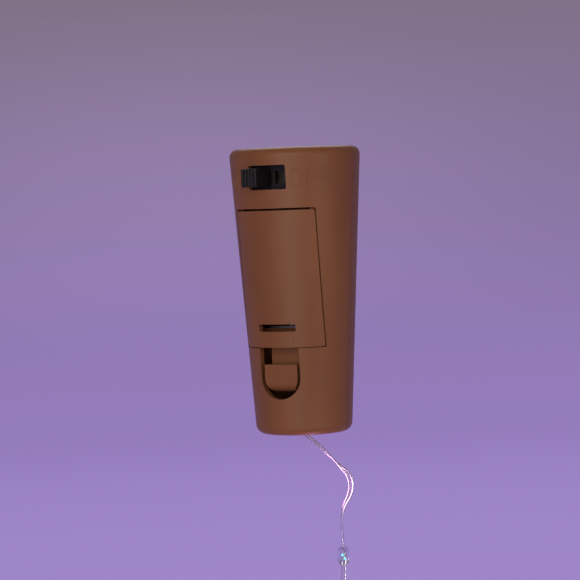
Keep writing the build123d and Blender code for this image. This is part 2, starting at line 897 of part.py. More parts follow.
# Where the light wire comes in: a glue plug, the two strands, and a sleeve on each soldered joint
neck_radius = seal_hole_diameter / 2 - seal_gap
flange_radius = seal_flange_diameter / 2
strand_places = [(-strand_spread, 0), (strand_spread, 0)]
with BuildPart() as solder_sleeves:
    with BuildSketch(Plane.XY.offset(sleeve_low_z)):
        with Locations(*strand_places):
            Circle(sleeve_diameter / 2)
            Circle(sleeve_bore / 2, mode=Mode.SUBTRACT)
    extrude(amount=sleeve_length)
save(solder_sleeves, "solder_sleeves")

with BuildPart() as wire_tails:
    with BuildSketch(Plane.XY.offset(seal_high_z)):
        with Locations(*strand_places):
            Circle(strand_diameter / 2)
    extrude(amount=strand_top_z - seal_high_z)
save(wire_tails, "wire_tails")

wire_seal = turned(
    [
        (0, bottom_z),
        (neck_radius, bottom_z),
        (neck_radius, seal_low_z),
        (flange_radius, seal_low_z),
        (flange_radius, seal_high_z),
        (0, seal_high_z),
    ],
    [((flange_radius, seal_high_z), seal_round)],
)
save(wire_seal, "wire_seal")


# Light wire: the run that shows, on one upright plane through the axis, then the coil below it
hang = Vector(cos(radians(hang_angle)), sin(radians(hang_angle)), 0)
behind = Vector(-sin(radians(hang_angle)), cos(radians(hang_angle)), 0)
up = Vector(0, 0, 1)
# Points of the route: distance from the axis along that plane, and drop below the casing's end
wire_route = [
    (0, 0),
    (0, 0.7),
    (1.2, 1.5),
    (3.4, 3.6),
    (5.5, 5.85),
    (7.45, 7.9),
    (7.5, 10.55),
    (5.9, 13.2),
    (5.65, 16.3),
    (5.75, 19.6),
    (5.8, 24.1),
    (5.45, 26.4),
    (5.1, 28.6),
    (3.9, 31.3),
    (1.2, 32.5),
    (-1.4, 32.5),
]
route = [hang * across + up * (bottom_z - drop) for across, drop in wire_route]
wire_section = pi * (cord_diameter / 2) ** 2
bend_share = 0.45  # of the shorter run beside a corner


def bend_radii(points):
    """Radius at each corner, from the shorter run beside it and half of the turn."""
    radii = []
    for before, corner, after in zip(points, points[1:], points[2:]):
        half_turn = radians((corner - before).get_angle(after - corner)) / 2
        shorter = min((corner - before).length, (after - corner).length)
        radii.append(bend_share * shorter / tan(half_turn))
    return radii


wire_radii = bend_radii(route)
light_wire = tube_along(route, cord_diameter, wire_radii)
with BuildLine() as wire_line:
    FilletPolyline(*route, radius=wire_radii)
wire_length = wire_line.wire().length
print("light wire: bend radii", [round(radius, 1) for radius in wire_radii])
print("light wire: length", round(wire_length, 2), "volume", round(light_wire.part.volume, 3))
print("light wire: section times length", round(wire_section * wire_length, 3))
save(light_wire, "light_wire")

# Coil: half turns that spiral in and out, one layer behind the other
coil_outer_radius = coil_inner_radius + coil_pitch * coil_half_turns / 2
coil_start = route[-1] - hang * coil_lead_in
coil_centre = coil_start - up * coil_outer_radius
coil_points = [coil_start]
coil_radius = coil_outer_radius


def coil_point(radius, layer):
    """Next point of the coil, above or below its middle by turns."""
    side = 1 if len(coil_points) % 2 == 0 else -1
    return coil_centre + up * (side * radius) + behind * (coil_pitch * layer)


for layer in range(coil_layers):
    for half_turn in range(coil_half_turns):
        coil_radius += coil_pitch / 2 * (-1 if layer % 2 == 0 else 1)
        coil_points.append(coil_point(coil_radius, layer))
    if layer < coil_layers - 1:
        coil_points.append(coil_point(coil_radius, layer + 1))

# The last half turn stops halfway, and the wire's end runs on straight
arc_count = len(coil_points) - 1
arc_ways = [hang * (-1 if index % 2 == 0 else 1) for index in range(arc_count)]
last_half = (coil_points[-1] - coil_points[-2]) / 2
last_middle = (coil_points[-1] + coil_points[-2]) / 2
last_bulge = arc_ways[-1] * last_half.length
quarter_end = last_middle + last_bulge
wire_end = quarter_end + last_half.normalized() * coil_tail
with BuildPart() as wire_coil:
    with BuildLine() as coil_path:
        Line(route[-1], coil_start)
        half_turn_path(coil_points[:-1], arc_ways[0])
        ThreePointArc(
            coil_points[-2],
            last_middle + (last_bulge - last_half) / sqrt(2),
            quarter_end,
        )
        Line(quarter_end, wire_end)
    with BuildSketch(Plane(origin=coil_path.line @ 0, z_dir=coil_path.line % 0)):
        Circle(cord_diameter / 2)
    sweep()
coil_length = coil_path.wire().length
print("coil: length", round(coil_length, 2), "volume", round(wire_coil.part.volume, 2))
print("coil: section times length", round(wire_section * coil_length, 2))
print("whole wire", round(wire_length + coil_length, 1))
save(wire_coil, "wire_coil")


# Lamps: clear drops along the wire, each with a chip beside the wire
coil_arcs = []
for index in range(arc_count):
    start, finish = coil_points[index], coil_points[index + 1]
    middle, half = (start + finish) / 2, (finish - start) / 2
    coil_arcs.append((middle, half, arc_ways[index] * half.length))


def coil_place(distance):
    """Arc that a distance along the coil falls on, and the angle turned there."""
    left = distance - coil_lead_in
    for middle, half, bulge in coil_arcs:
        if left <= pi * half.length:
            return middle, half, bulge, left / half.length
        left -= pi * half.length
    raise ValueError("the coil is shorter than the distance")


def ends_rounded(blank):
    """Blank of a drop with its two round ends softened."""
    with BuildPart() as softened:
        add(blank)
        fillet(softened.faces().filter_by(GeomType.PLANE).edges(), drop_end_round)
    return softened.part


def straight_piece(centre, way, length, diameter):
    """Round bar along a straight stretch of the wire, centred on a place."""
    with BuildPart() as bar:
        with BuildSketch(Plane(origin=centre - way * (length / 2), z_dir=way)):
            Circle(diameter / 2)
        extrude(amount=length)
    return bar.part


def turned_piece(middle, half, bulge, angle, length, diameter):
    """Round bar bent along a turn of the coil, centred on an angle of that turn."""
    radius = half.length
    half_span = length / 2 / radius
    at = angle - half_span
    spot = middle - half * cos(at) + bulge * sin(at)
    way = half * sin(at) + bulge * cos(at)
    turn_axis = Axis(middle, bulge.cross(half))
    with BuildPart() as bar:
        with BuildSketch(Plane(origin=spot, z_dir=way)):
            Circle(diameter / 2)
        revolve(axis=turn_axis, revolution_arc=degrees(2 * half_span))
    return bar.part


def chip_plane(centre, way, out):
    """Plane on the wire's side that a chip stands on."""
    return Plane(origin=centre + out * (cord_diameter / 2 + drop_bore_gap), x_dir=way, z_dir=out)


chip_planes = []


def save_drop(number, blank, bore, plane):
    """Cut a drop for the wire and its chip, and write it."""
    with BuildPart() as drop:
        add(blank)
        add(bore, mode=Mode.SUBTRACT)
        with BuildSketch(plane):
            Rectangle(chip_length + 2 * chip_gap, chip_width + 2 * chip_gap)
        extrude(amount=chip_thickness + 2 * chip_gap, mode=Mode.SUBTRACT)
    chip_planes.append(plane.offset(chip_gap))
    save(drop, f"led_drop_{number:02d}")


bore_diameter = cord_diameter + 2 * drop_bore_gap
first_spot = wire_line.wire().position_at(first_drop_place, position_mode=PositionMode.LENGTH)
first_way = wire_line.wire().tangent_at(first_drop_place, position_mode=PositionMode.LENGTH)
save_drop(
    1,
    ends_rounded(straight_piece(first_spot, first_way, drop_length, drop_diameter)),
    straight_piece(first_spot, first_way, 2 * drop_length, bore_diameter),
    chip_plane(first_spot, first_way, behind * -1),
)
for drop_index in range(1, drop_count - 1):
    along = first_drop_place + drop_index * drop_pitch - wire_length
    middle, half, bulge, angle = coil_place(along)
    out = (half * -cos(angle) + bulge * sin(angle)).normalized()
    way = (half * sin(angle) + bulge * cos(angle)).normalized()
    spot = middle + out * half.length
    blank = turned_piece(middle, half, bulge, angle, drop_length, drop_diameter)
    bore = turned_piece(middle, half, bulge, angle, 2 * drop_length, bore_diameter)
    save_drop(drop_index + 1, ends_rounded(blank), bore, chip_plane(spot, way, out))

# The last drop closes over the wire's end
tail_way = last_half.normalized()
tail_spot = wire_end - tail_way * drop_end_round
tail_out = arc_ways[-1]
tail_bore_spot = tail_spot + tail_way * (drop_end_round + drop_bore_gap - drop_length)
save_drop(
    drop_count,
    ends_rounded(straight_piece(tail_spot, tail_way, drop_length, drop_diameter)),
    straight_piece(tail_bore_spot, tail_way, 2 * drop_length, bore_diameter),
    chip_plane(tail_spot, tail_way, tail_out),
)
print("last drop lies at", round(wire_length + coil_length - drop_end_round, 2))

with BuildPart() as led_chips:
    for plane in chip_planes:
        with BuildSketch(plane):
            Rectangle(chip_length, chip_width)
        extrude(amount=chip_thickness)
save(led_chips, "led_chips")

# Tie round all the turns at the coil's top, with its twisted end behind
bundle_low = coil_centre.Z + coil_inner_radius - cord_diameter / 2 - tie_gap
bundle_high = coil_centre.Z + coil_outer_radius + cord_diameter / 2 + tie_gap
bundle_depth = (coil_layers - 1) * coil_pitch + cord_diameter + 2 * tie_gap
tie_centre = coil_centre + behind * ((coil_layers - 1) * coil_pitch / 2)
tie_centre = tie_centre + up * ((bundle_low + bundle_high) / 2 - coil_centre.Z)
tie_plane = Plane(origin=tie_centre - hang * (tie_width / 2), x_dir=behind, z_dir=hang)
with BuildPart() as wire_tie:
    with BuildSketch(tie_plane):
        RectangleRounded(
            bundle_depth + 2 * tie_thickness,
            bundle_high - bundle_low + 2 * tie_thickness,
            tie_round + tie_thickness,
        )
        RectangleRounded(bundle_depth, bundle_high - bundle_low, tie_round, mode=Mode.SUBTRACT)
    extrude(amount=tie_width)
    twist_root = tie_centre + behind * (bundle_depth / 2 + tie_thickness / 2)
    with BuildSketch(Plane(origin=twist_root, z_dir=behind)):
        Circle(tie_twist_diameter / 2)
    extrude(amount=tie_twist_length)
save(wire_tie, "wire_tie")


# Least gap of the coil to itself, on points along its turns
steps_in_half_turn = 16
coil_samples = []
travelled = 0
for middle, half, bulge in coil_arcs[:-1]:
    for step in range(steps_in_half_turn):
        angle = pi * step / steps_in_half_turn
        place = middle - half * cos(angle) + bulge * sin(angle)
        coil_samples.append((travelled + angle * half.length, place))
    travelled += pi * half.length
least = min(
    (place - other).length
    for index, (along, place) in enumerate(coil_samples)
    for farther, other in coil_samples[index + 1 :]
    if farther - along > 4 * coil_pitch
)
print("coil: least gap to itself", round(least - cord_diameter, 2))
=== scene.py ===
# %% [markdown]
# # A cork light with a string of small lamps
# This lesson dresses a finished CAD model. The model is a tapered plug of brown plastic that
# holds three button cells, a slide switch and the start of a thin twin wire with lamps on it.
# The solids come from the CAD file and stay where they are. Blender adds what the eye needs:
# finishes, the two strands of the wire, the clear drops over the lamps, and the raised words.

# %% Load the model
from math import cos, pi, radians, sin, sqrt

import bmesh
import bpy
from mathutils import Matrix, Vector


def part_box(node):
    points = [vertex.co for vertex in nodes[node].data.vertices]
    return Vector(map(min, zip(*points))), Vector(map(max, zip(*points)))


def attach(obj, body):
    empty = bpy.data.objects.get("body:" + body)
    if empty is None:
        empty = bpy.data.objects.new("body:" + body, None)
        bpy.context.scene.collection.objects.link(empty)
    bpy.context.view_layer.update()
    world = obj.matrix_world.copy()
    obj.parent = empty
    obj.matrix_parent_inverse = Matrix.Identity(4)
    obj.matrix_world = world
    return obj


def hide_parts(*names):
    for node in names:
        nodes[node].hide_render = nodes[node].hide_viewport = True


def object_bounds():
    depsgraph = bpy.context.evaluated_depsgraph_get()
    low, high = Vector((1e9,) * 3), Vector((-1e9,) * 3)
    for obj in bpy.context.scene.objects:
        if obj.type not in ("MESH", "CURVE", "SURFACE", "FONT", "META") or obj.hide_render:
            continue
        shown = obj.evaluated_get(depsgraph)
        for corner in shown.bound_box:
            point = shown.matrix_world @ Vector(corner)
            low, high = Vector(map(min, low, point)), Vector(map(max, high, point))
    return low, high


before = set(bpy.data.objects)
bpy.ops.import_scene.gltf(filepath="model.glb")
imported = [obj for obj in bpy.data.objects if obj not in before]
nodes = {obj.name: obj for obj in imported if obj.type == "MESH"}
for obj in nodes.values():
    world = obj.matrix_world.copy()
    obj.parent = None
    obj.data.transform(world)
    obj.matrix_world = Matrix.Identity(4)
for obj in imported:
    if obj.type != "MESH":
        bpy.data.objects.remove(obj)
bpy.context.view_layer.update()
print("solids in the model:", len(nodes))

# %% [markdown]
# ## The camera
# The light was photographed from a little to the right of its switch and almost level with it,
# with a long lens. A camera can be placed by eye or by its numbers. Numbers are used here: the
# angle round the light, the small tilt down, the lean of the picture and the distance. The
# three directions of the camera make the columns of its matrix.

# %% Camera
MM = 0.001
round_angle = radians(27.5)
tilt_angle = radians(2.4)
lean_angle = radians(2.12)
distance = 400 * MM
aim_height = 2.8 * MM
aim_aside = 1.594 * MM
towards = Vector((
    sin(round_angle) * cos(tilt_angle), -cos(round_angle) * cos(tilt_angle), sin(tilt_angle)
))
level_right = Vector((cos(round_angle), sin(round_angle), 0))
level_up = towards.cross(level_right)
right = level_right * cos(lean_angle) - level_up * sin(lean_angle)
up = level_right * sin(lean_angle) + level_up * cos(lean_angle)
aim = Vector((0, 0, aim_height)) - right * aim_aside

camera_data = bpy.data.cameras.new("camera")
camera_data.sensor_width = 36
camera_data.lens = 147.9
camera = bpy.data.objects.new("camera", camera_data)
camera.matrix_world = Matrix.Translation(aim + towards * distance) @ Matrix(
    (right, up, towards)
).transposed().to_4x4()
bpy.context.scene.collection.objects.link(camera)
bpy.context.scene.camera = camera
bpy.context.scene.view_settings.view_transform = "Standard"
print("camera at", [round(value, 3) for value in camera.matrix_world.translation])

# %% [markdown]
# ## Colours
# A colour picked on a screen is stored with a curve, and a shader works with plain amounts of
# light. This helper turns the picked colour, from 0 to 255, into those amounts.

# %% Colours as amounts of light
def seen(red, green, blue):
    """Amounts of light for a colour as a screen shows it."""
    def amount(value):
        value = value / 255
        return value / 12.92 if value <= 0.04045 else ((value + 0.055) / 1.055) ** 2.4
    return (amount(red), amount(green), amount(blue), 1)


casing_brown = seen(119, 73, 46)
casing_brown_light = seen(129, 80, 50)
print("casing brown as amounts of light:", [round(value, 3) for value in casing_brown[:3]])

# %% [markdown]
# ## A finish with detail in it
# Real surfaces are never one flat colour. Each finish below is built with the same few
# helpers. One makes soft clouds of shade, one lets them run between two close colours, one
# makes the gloss uneven, and one adds fine grain that catches the light. All read the place
# on the object in metres, so a grain of half a millimetre stays that size on every piece.

# %% Helpers for a new finish and its clouds
def shader_input(finish, name):
    """One input of a finish's shader, such as its Roughness."""
    return finish.node_tree.nodes["Principled BSDF"].inputs[name]


def new_finish(name, roughness=0.5, metallic=0.0):
    """Material with its shader ready to be given detail."""
    finish = bpy.data.materials.new(name)
    finish.use_nodes = True
    shader_input(finish, "Roughness").default_value = roughness
    shader_input(finish, "Metallic").default_value = metallic
    return finish


def clouds(finish, size, detail=2.0, stretch=(1, 1, 1)):
    """Soft noise whose clouds are about one size across, in metres."""
    tree = finish.node_tree
    place = tree.nodes.new("ShaderNodeTexCoord")
    spread = tree.nodes.new("ShaderNodeMapping")
    spread.inputs["Scale"].default_value = stretch
    noise = tree.nodes.new("ShaderNodeTexNoise")
    noise.inputs["Scale"].default_value = 1 / size
    noise.inputs["Detail"].default_value = detail
    tree.links.new(place.outputs["Object"], spread.inputs["Vector"])
    tree.links.new(spread.outputs["Vector"], noise.inputs["Vector"])
    return noise.outputs["Fac"]


print("helpers for a finish and its clouds are ready")

# %% Helpers for colour, gloss and grain
def colour_between(finish, source, first, second, low=0.3, high=0.7):
    """Base colour that runs from one colour to another with a source of shade."""
    tree = finish.node_tree
    ramp = tree.nodes.new("ShaderNodeValToRGB")
    ramp.color_ramp.elements[0].position = low
    ramp.color_ramp.elements[0].color = first
    ramp.color_ramp.elements[1].position = high
    ramp.color_ramp.elements[1].color = second
    tree.links.new(source, ramp.inputs["Fac"])
    tree.links.new(ramp.outputs["Color"], shader_input(finish, "Base Color"))


def rescaled(tree, source, from_range, to_range=(0, 1)):
    """Node that turns one range of a value into another."""
    scale = tree.nodes.new("ShaderNodeMapRange")
    scale.inputs["From Min"].default_value, scale.inputs["From Max"].default_value = from_range
    scale.inputs["To Min"].default_value, scale.inputs["To Max"].default_value = to_range
    tree.links.new(source, scale.inputs["Value"])
    return scale


def gloss_between(finish, source, low, high):
    """Roughness that runs between two values with a source of shade."""
    tree = finish.node_tree
    gloss = rescaled(tree, source, (0, 1), (low, high))
    tree.links.new(gloss.outputs["Result"], shader_input(finish, "Roughness"))


def grain(finish, source, depth, strength=1.0):
    """Fine relief of a given depth, in metres, from a source of shade."""
    tree = finish.node_tree
    bump = tree.nodes.new("ShaderNodeBump")
    bump.inputs["Strength"].default_value = strength
    bump.inputs["Distance"].default_value = depth
    tree.links.new(source, bump.inputs["Height"])
    tree.links.new(bump.outputs["Normal"], shader_input(finish, "Normal"))


print("helpers for colour, gloss and grain are ready")

# %% [markdown]
# ## Brown moulded plastic
# The casing and its door are moulded in a cork-brown plastic with a satin skin. The mould
# leaves a grain too fine to see, but it makes the reflections soft. Long, faint clouds of
# colour show how the plastic flowed down the mould. The switch's knob is black plastic.

# %% Finishes of the casing and the knob
moulded_brown = new_finish("moulded_brown")
flow = clouds(moulded_brown, 7 * MM, detail=3, stretch=(1, 1, 0.3))
colour_between(moulded_brown, flow, casing_brown, casing_brown_light)
gloss_between(moulded_brown, clouds(moulded_brown, 3 * MM, detail=3), 0.38, 0.48)
grain(moulded_brown, clouds(moulded_brown, 0.16 * MM, detail=3), 0.012 * MM, 0.5)
shader_input(moulded_brown, "Specular IOR Level").default_value = 0.25

knob_black = new_finish("knob_black")
colour_between(
    knob_black, clouds(knob_black, 1.5 * MM, detail=3), seen(14, 11, 13), seen(22, 17, 20)
)
gloss_between(knob_black, clouds(knob_black, 0.8 * MM, detail=3), 0.42, 0.6)
grain(knob_black, clouds(knob_black, 0.1 * MM, detail=2), 0.008 * MM, 0.5)
shader_input(knob_black, "Specular IOR Level").default_value = 0.3
print("finishes of the outside:", moulded_brown.name, knob_black.name)

# %% [markdown]
# ## Metals
# Cell cans are drawn from nickel-plated steel and turn bright, with fine lines round them.
# Contacts and springs are satin nickel. The switch pins are silvered brass, but their colour is
# painted dark as shade, because they sit deep in the slot. The frame of the switch is blackened
# steel. Brushed lines are clouds that are squeezed in one direction.

# %% Finishes of the metals
can_steel = new_finish("can_steel", metallic=1.0)
lines = clouds(can_steel, 0.25 * MM, detail=4, stretch=(0.08, 0.08, 1.6))
colour_between(can_steel, lines, seen(176, 175, 172), seen(214, 213, 209))
gloss_between(can_steel, lines, 0.2, 0.36)
grain(can_steel, lines, 0.004 * MM, 0.4)

cap_steel = new_finish("cap_steel", metallic=1.0)
colour_between(
    cap_steel, clouds(cap_steel, 1.2 * MM, detail=4), seen(168, 166, 163), seen(203, 201, 197)
)
gloss_between(cap_steel, clouds(cap_steel, 0.4 * MM, detail=4), 0.28, 0.44)

spring_steel = new_finish("spring_steel", metallic=1.0)
colour_between(
    spring_steel, clouds(spring_steel, 0.9 * MM, detail=4), seen(150, 147, 141), seen(190, 188, 182)
)
gloss_between(spring_steel, clouds(spring_steel, 0.3 * MM, detail=4), 0.24, 0.4)
grain(spring_steel, clouds(spring_steel, 0.15 * MM, detail=3), 0.004 * MM, 0.4)

# Painted shade: this brass gets a dark colour so that the switch pins look shaded inside the slot
brass_with_painted_shade = new_finish("brass_with_painted_shade", metallic=1.0)
colour_between(
    brass_with_painted_shade, clouds(brass_with_painted_shade, 0.7 * MM, detail=3), seen(62, 55, 44), seen(90, 81, 66)
)
gloss_between(brass_with_painted_shade, clouds(brass_with_painted_shade, 0.3 * MM, detail=3), 0.25, 0.4)

black_steel = new_finish("black_steel", metallic=0.6)
colour_between(
    black_steel, clouds(black_steel, 0.8 * MM, detail=4), seen(24, 18, 28), seen(36, 29, 42)
)
gloss_between(black_steel, clouds(black_steel, 0.3 * MM, detail=3), 0.45, 0.6)

tinned = new_finish("tinned", metallic=1.0)
colour_between(tinned, clouds(tinned, 0.4 * MM, detail=4), seen(176, 176, 174), seen(212, 212, 210))
gloss_between(tinned, clouds(tinned, 0.2 * MM, detail=4), 0.25, 0.42)
grain(tinned, clouds(tinned, 0.25 * MM, detail=3), 0.01 * MM, 0.6)
print("finishes of the metals: 6")

# %% [markdown]
# ## Inner plastics, leads and board
# The board is green lacquer over glass cloth, and the cloth shows as a fine weave in the
# bump. Leads have a soft vinyl skin. The glue plug is milky, so light goes a little way in.

# %% Finishes of the board, the switch and the gaskets
board_green = new_finish("board_green", roughness=0.35)
weave = clouds(board_green, 0.22 * MM, detail=1)
colour_between(
    board_green, clouds(board_green, 1.5 * MM, detail=3), seen(20, 84, 46), seen(29, 101, 56)
)
grain(board_green, weave, 0.01 * MM, 0.5)

switch_black = new_finish("switch_black", roughness=0.6)
colour_between(
    switch_black, clouds(switch_black, 0.5 * MM, detail=5), seen(22, 18, 25), seen(31, 26, 35)
)

chip_black = new_finish("chip_black", roughness=0.4)
colour_between(
    chip_black, clouds(chip_black, 0.4 * MM, detail=3), seen(24, 24, 26), seen(38, 38, 41)
)

gasket_nylon = new_finish("gasket_nylon", roughness=0.5)
colour_between(
    gasket_nylon, clouds(gasket_nylon, 0.6 * MM, detail=3), seen(28, 34, 58), seen(38, 45, 74)
)
print("finishes of the board, the switch and the gaskets: 4")

# %% Finishes of the leads and the glue
def vinyl(name, first, second):
    """Soft skin of an insulated lead."""
    finish = new_finish(name)
    colour_between(finish, clouds(finish, 1.1 * MM, detail=3), first, second)
    gloss_between(finish, clouds(finish, 0.5 * MM, detail=3), 0.34, 0.48)
    grain(finish, clouds(finish, 0.2 * MM, detail=2), 0.01 * MM, 0.4)
    return finish


red_vinyl = vinyl("red_vinyl", seen(150, 18, 18), seen(176, 28, 26))
white_vinyl = vinyl("white_vinyl", seen(214, 211, 203), seen(232, 230, 224))
black_vinyl = vinyl("black_vinyl", seen(22, 22, 24), seen(34, 34, 37))
shrink_sleeve = vinyl("shrink_sleeve", seen(26, 26, 28), seen(40, 40, 43))

glue_milky = new_finish("glue_milky", roughness=0.3)
colour_between(
    glue_milky, clouds(glue_milky, 0.8 * MM, detail=3), seen(206, 194, 170), seen(224, 214, 194)
)
shader_input(glue_milky, "Subsurface Weight").default_value = 0.3
shader_input(glue_milky, "Subsurface Scale").default_value = 0.001
print("finishes of the leads and the glue: 5")

# %% [markdown]
# ## Dressing the solids
# The solids whose shape is already right keep it and only get their finish. A list of pairs
# says which finish goes on which solids.

# %% Finishes go on the solids
dress = [
    (moulded_brown, ["front_shell", "back_shell", "battery_door"]),
    (black_steel, ["switch_frame"]),
    (switch_black, ["switch_base"]),
    (brass_with_painted_shade, ["switch_terminals", "switch_wiper"]),
    (board_green, ["circuit_board"]),
    (chip_black, ["resistor"]),
    (tinned, ["resistor_caps", "wire_tails"]),
    (can_steel, ["cell_1_can", "cell_2_can", "cell_3_can"]),
    (cap_steel, ["cell_1_cap", "cell_2_cap", "cell_3_cap"]),
    (gasket_nylon, ["cell_1_gasket", "cell_2_gasket", "cell_3_gasket"]),
    (spring_steel, ["positive_contact", "negative_contact", "negative_spring"]),
    (red_vinyl, ["lead_positive"]),
    (white_vinyl, ["lead_supply"]),
    (black_vinyl, ["lead_return"]),
    (shrink_sleeve, ["solder_sleeves"]),
    (glue_milky, ["wire_seal"]),
]
for finish, names in dress:
    for name in names:
        nodes[name].data.materials.clear()
        nodes[name].data.materials.append(finish)
print("solids with a finish:", sum(len(names) for _, names in dress))

# %% [markdown]
# ## The route of the wire
# The wire leaves the middle of the casing's end, swings out to one side in a soft S, hangs
# down, and the length that is put away goes round in a neat coil of four layers. It is a
# curve of one open spline. Its control points are the corners of the route in the CAD file,
# and the spline rounds them. The order is set after the points, or it would stay straight.

# %% Directions and route of the wire
hang_angle = radians(27.4)
hang = Vector((cos(hang_angle), sin(hang_angle), 0))
behind = Vector((-sin(hang_angle), cos(hang_angle), 0))
upward = Vector((0, 0, 1))
casing_end = -0.021
# Across the hanging plane, and down from the casing's end
wire_route = [
    (0, 0),
    (0, 0.0007),
    (0.0012, 0.0015),
    (0.0034, 0.0036),
    (0.0055, 0.00585),
    (0.00745, 0.0079),
    (0.0075, 0.01055),
    (0.0059, 0.0132),
    (0.00565, 0.0163),
    (0.00575, 0.0196),
    (0.0058, 0.0241),
    (0.00545, 0.0264),
    (0.0051, 0.0286),
    (0.0039, 0.0313),
    (0.0012, 0.0325),
    (-0.0014, 0.0325),
]
control = [hang * across + upward * (casing_end - drop) for across, drop in wire_route]
print("points of the hanging run:", len(control))

# %% [markdown]
# ## The coil
# A coil can be a spiral formula or a chain of half turns. The CAD file uses half turns, each
# a little smaller or larger than the last, so that one layer spirals in and the next spirals
# out behind it. The same chain is walked here, with twelve points on each half turn. A
# spline runs slightly inside its points, so the points stand a little farther out.

# %% Points of the coil
coil_pitch = 0.00195
coil_inner_radius = 0.00592
coil_half_turns = 7
coil_layers = 4
coil_lead_in = 0.002
coil_tail = 0.0036
steps_on_half_turn = 12
stand_out = 1 / cos(pi / steps_on_half_turn / 2)

coil_outer_radius = coil_inner_radius + coil_pitch * coil_half_turns / 2
coil_start = control[-1] - hang * coil_lead_in
coil_centre = coil_start - upward * coil_outer_radius
turn_points = [coil_start]
turn_radius = coil_outer_radius
for layer in range(coil_layers):
    for _ in range(coil_half_turns):
        turn_radius += coil_pitch / 2 * (-1 if layer % 2 == 0 else 1)
        side = 1 if len(turn_points) % 2 == 0 else -1
        turn_points.append(
            coil_centre + upward * (side * turn_radius) + behind * (coil_pitch * layer)
        )
    if layer < coil_layers - 1:
        side = 1 if len(turn_points) % 2 == 0 else -1
        turn_points.append(
            coil_centre + upward * (side * turn_radius) + behind * (coil_pitch * (layer + 1))
        )

last_arc = len(turn_points) - 2
for index in range(last_arc + 1):
    first, second = turn_points[index], turn_points[index + 1]
    middle, half = (first + second) / 2, (second - first) / 2
    bulge = hang * (half.length * (-1 if index % 2 == 0 else 1))
    steps = steps_on_half_turn if index < last_arc else steps_on_half_turn // 2 + 1
    for step in range(steps):
        angle = pi * step / steps_on_half_turn
        control.append(middle + (bulge * sin(angle) - half * cos(angle)) * stand_out)
wire_end = middle + bulge + half.normalized() * coil_tail
control.append(wire_end)
print("control points:", len(control), "turns:", (last_arc + 1) / 2)

# %% [markdown]
# ## Reading the route
# The spline itself isn't shown. Its evaluated points are read once, and everything on the
# wire follows them: both strands, the clear drops and the lamp chips. A table of the length
# up to each point lets a piece ask for a place by its distance along the wire.

# %% Route as points with their lengths
route_curve = bpy.data.curves.new("route", "CURVE")
route_curve.dimensions = "3D"
route_curve.resolution_u = 8
spline = route_curve.splines.new("NURBS")
spline.points.add(len(control) - 1)
for point, place in zip(spline.points, control):
    point.co = (*place, 1)
spline.order_u = 3
spline.use_endpoint_u = True
route_object = bpy.data.objects.new("route", route_curve)
bpy.context.scene.collection.objects.link(route_object)
route_mesh = bpy.data.meshes.new_from_object(route_object)
route = [vertex.co.copy() for vertex in route_mesh.vertices]
bpy.data.objects.remove(route_object)

lengths = [0.0]
for before, after in zip(route, route[1:]):
    lengths.append(lengths[-1] + (after - before).length)
wire_length = lengths[-1]
print("points on the route:", len(route), "length in mm:", round(wire_length / MM, 1))

# %% Places on the wire
shortest_step = 1e-9


def place_on_wire(along):
    """Point on the route at a distance from the casing, and the way the wire runs there."""
    along = min(max(along, 0), wire_length)
    low, high = 0, len(lengths) - 1
    while high - low > 1:
        centre = (low + high) // 2
        if lengths[centre] <= along:
            low = centre
        else:
            high = centre
    share = (along - lengths[low]) / max(lengths[high] - lengths[low], shortest_step)
    way = (route[high] - route[low]).normalized()
    return route[low].lerp(route[high], share), way


def sides_of_wire(way):
    """Two directions square to the wire: one in the hanging plane, one out of it."""
    out_of_plane = (behind - way * way.dot(behind)).normalized()
    return out_of_plane.cross(way).normalized(), out_of_plane


ten_along = place_on_wire(10 * MM)[0]
print("10 mm along, the wire is at, in mm:", [round(value / MM, 1) for value in ten_along])

# %% [markdown]
# ## A tube from rings
# Strands, drops and the tie's tails are all rings of points joined by faces, with a closed
# face at each end. One helper makes them all. It takes a list of rings, so that a ring can
# have any centre, size and tilt, which a curve's bevel can't do.

# %% Helper that skins rings
def skin_rings(mesh, rings, closed_loop=False):
    """Faces between neighbouring rings, and a cap on each open end."""
    made = [[mesh.verts.new(point) for point in ring] for ring in rings]
    pairs = list(zip(made, made[1:]))
    if closed_loop:
        pairs.append((made[-1], made[0]))
    for first, second in pairs:
        for index in range(len(first)):
            following = (index + 1) % len(first)
            mesh.faces.new((first[index], first[following], second[following], second[index]))
    if not closed_loop:
        mesh.faces.new(list(reversed(made[0])))
        mesh.faces.new(made[-1])


print("helper that skins rings is ready")

# %% Helpers for one ring and for a finished piece
def ring_round(centre, first_side, second_side, radius, count):
    """Points of one round ring."""
    return [
        centre
        + first_side * (radius * cos(2 * pi * index / count))
        + second_side * (radius * sin(2 * pi * index / count))
        for index in range(count)
    ]


def new_piece(name, mesh, finishes, body, smooth=True):
    """Piece from a finished mesh, with its finishes, riding on a body."""
    bmesh.ops.recalc_face_normals(mesh, faces=mesh.faces)
    data = bpy.data.meshes.new(name)
    mesh.to_mesh(data)
    mesh.free()
    for face in data.polygons:
        face.use_smooth = smooth
    for finish in finishes:
        data.materials.append(finish)
    piece = bpy.data.objects.new(name, data)
    bpy.context.scene.collection.objects.link(piece)
    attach(piece, body)
    return piece


print("helpers for pieces are ready")

# %% [markdown]
# ## Two strands
# The wire is two thin lacquered strands, twisted loosely. Where they lie side by side a gap
# shows between them, and where they cross they look like one. A list of stops says how far
# the pair has turned at each distance: flat at the casing, crossed after 8 mm, open again
# in the bend, crossed below it, and then a steady twist. Each strand is a tube beside the
# route, at the angle that the stops give.

# %% Finish of the wire
silver_wire = new_finish("silver_wire", metallic=1.0)
colour_between(
    silver_wire, clouds(silver_wire, 1.4 * MM, detail=3), seen(206, 203, 210), seen(231, 229, 235)
)
gloss_between(silver_wire, clouds(silver_wire, 1.6 * MM, detail=3), 0.22, 0.3)
shader_input(silver_wire, "Coat Weight").default_value = 0.4
shader_input(silver_wire, "Coat Roughness").default_value = 0.12
print("finish of the wire:", silver_wire.name)

# %% Strands of the wire
strand_radius = 0.00018
strand_offset = 0.00032
strand_sides = 10
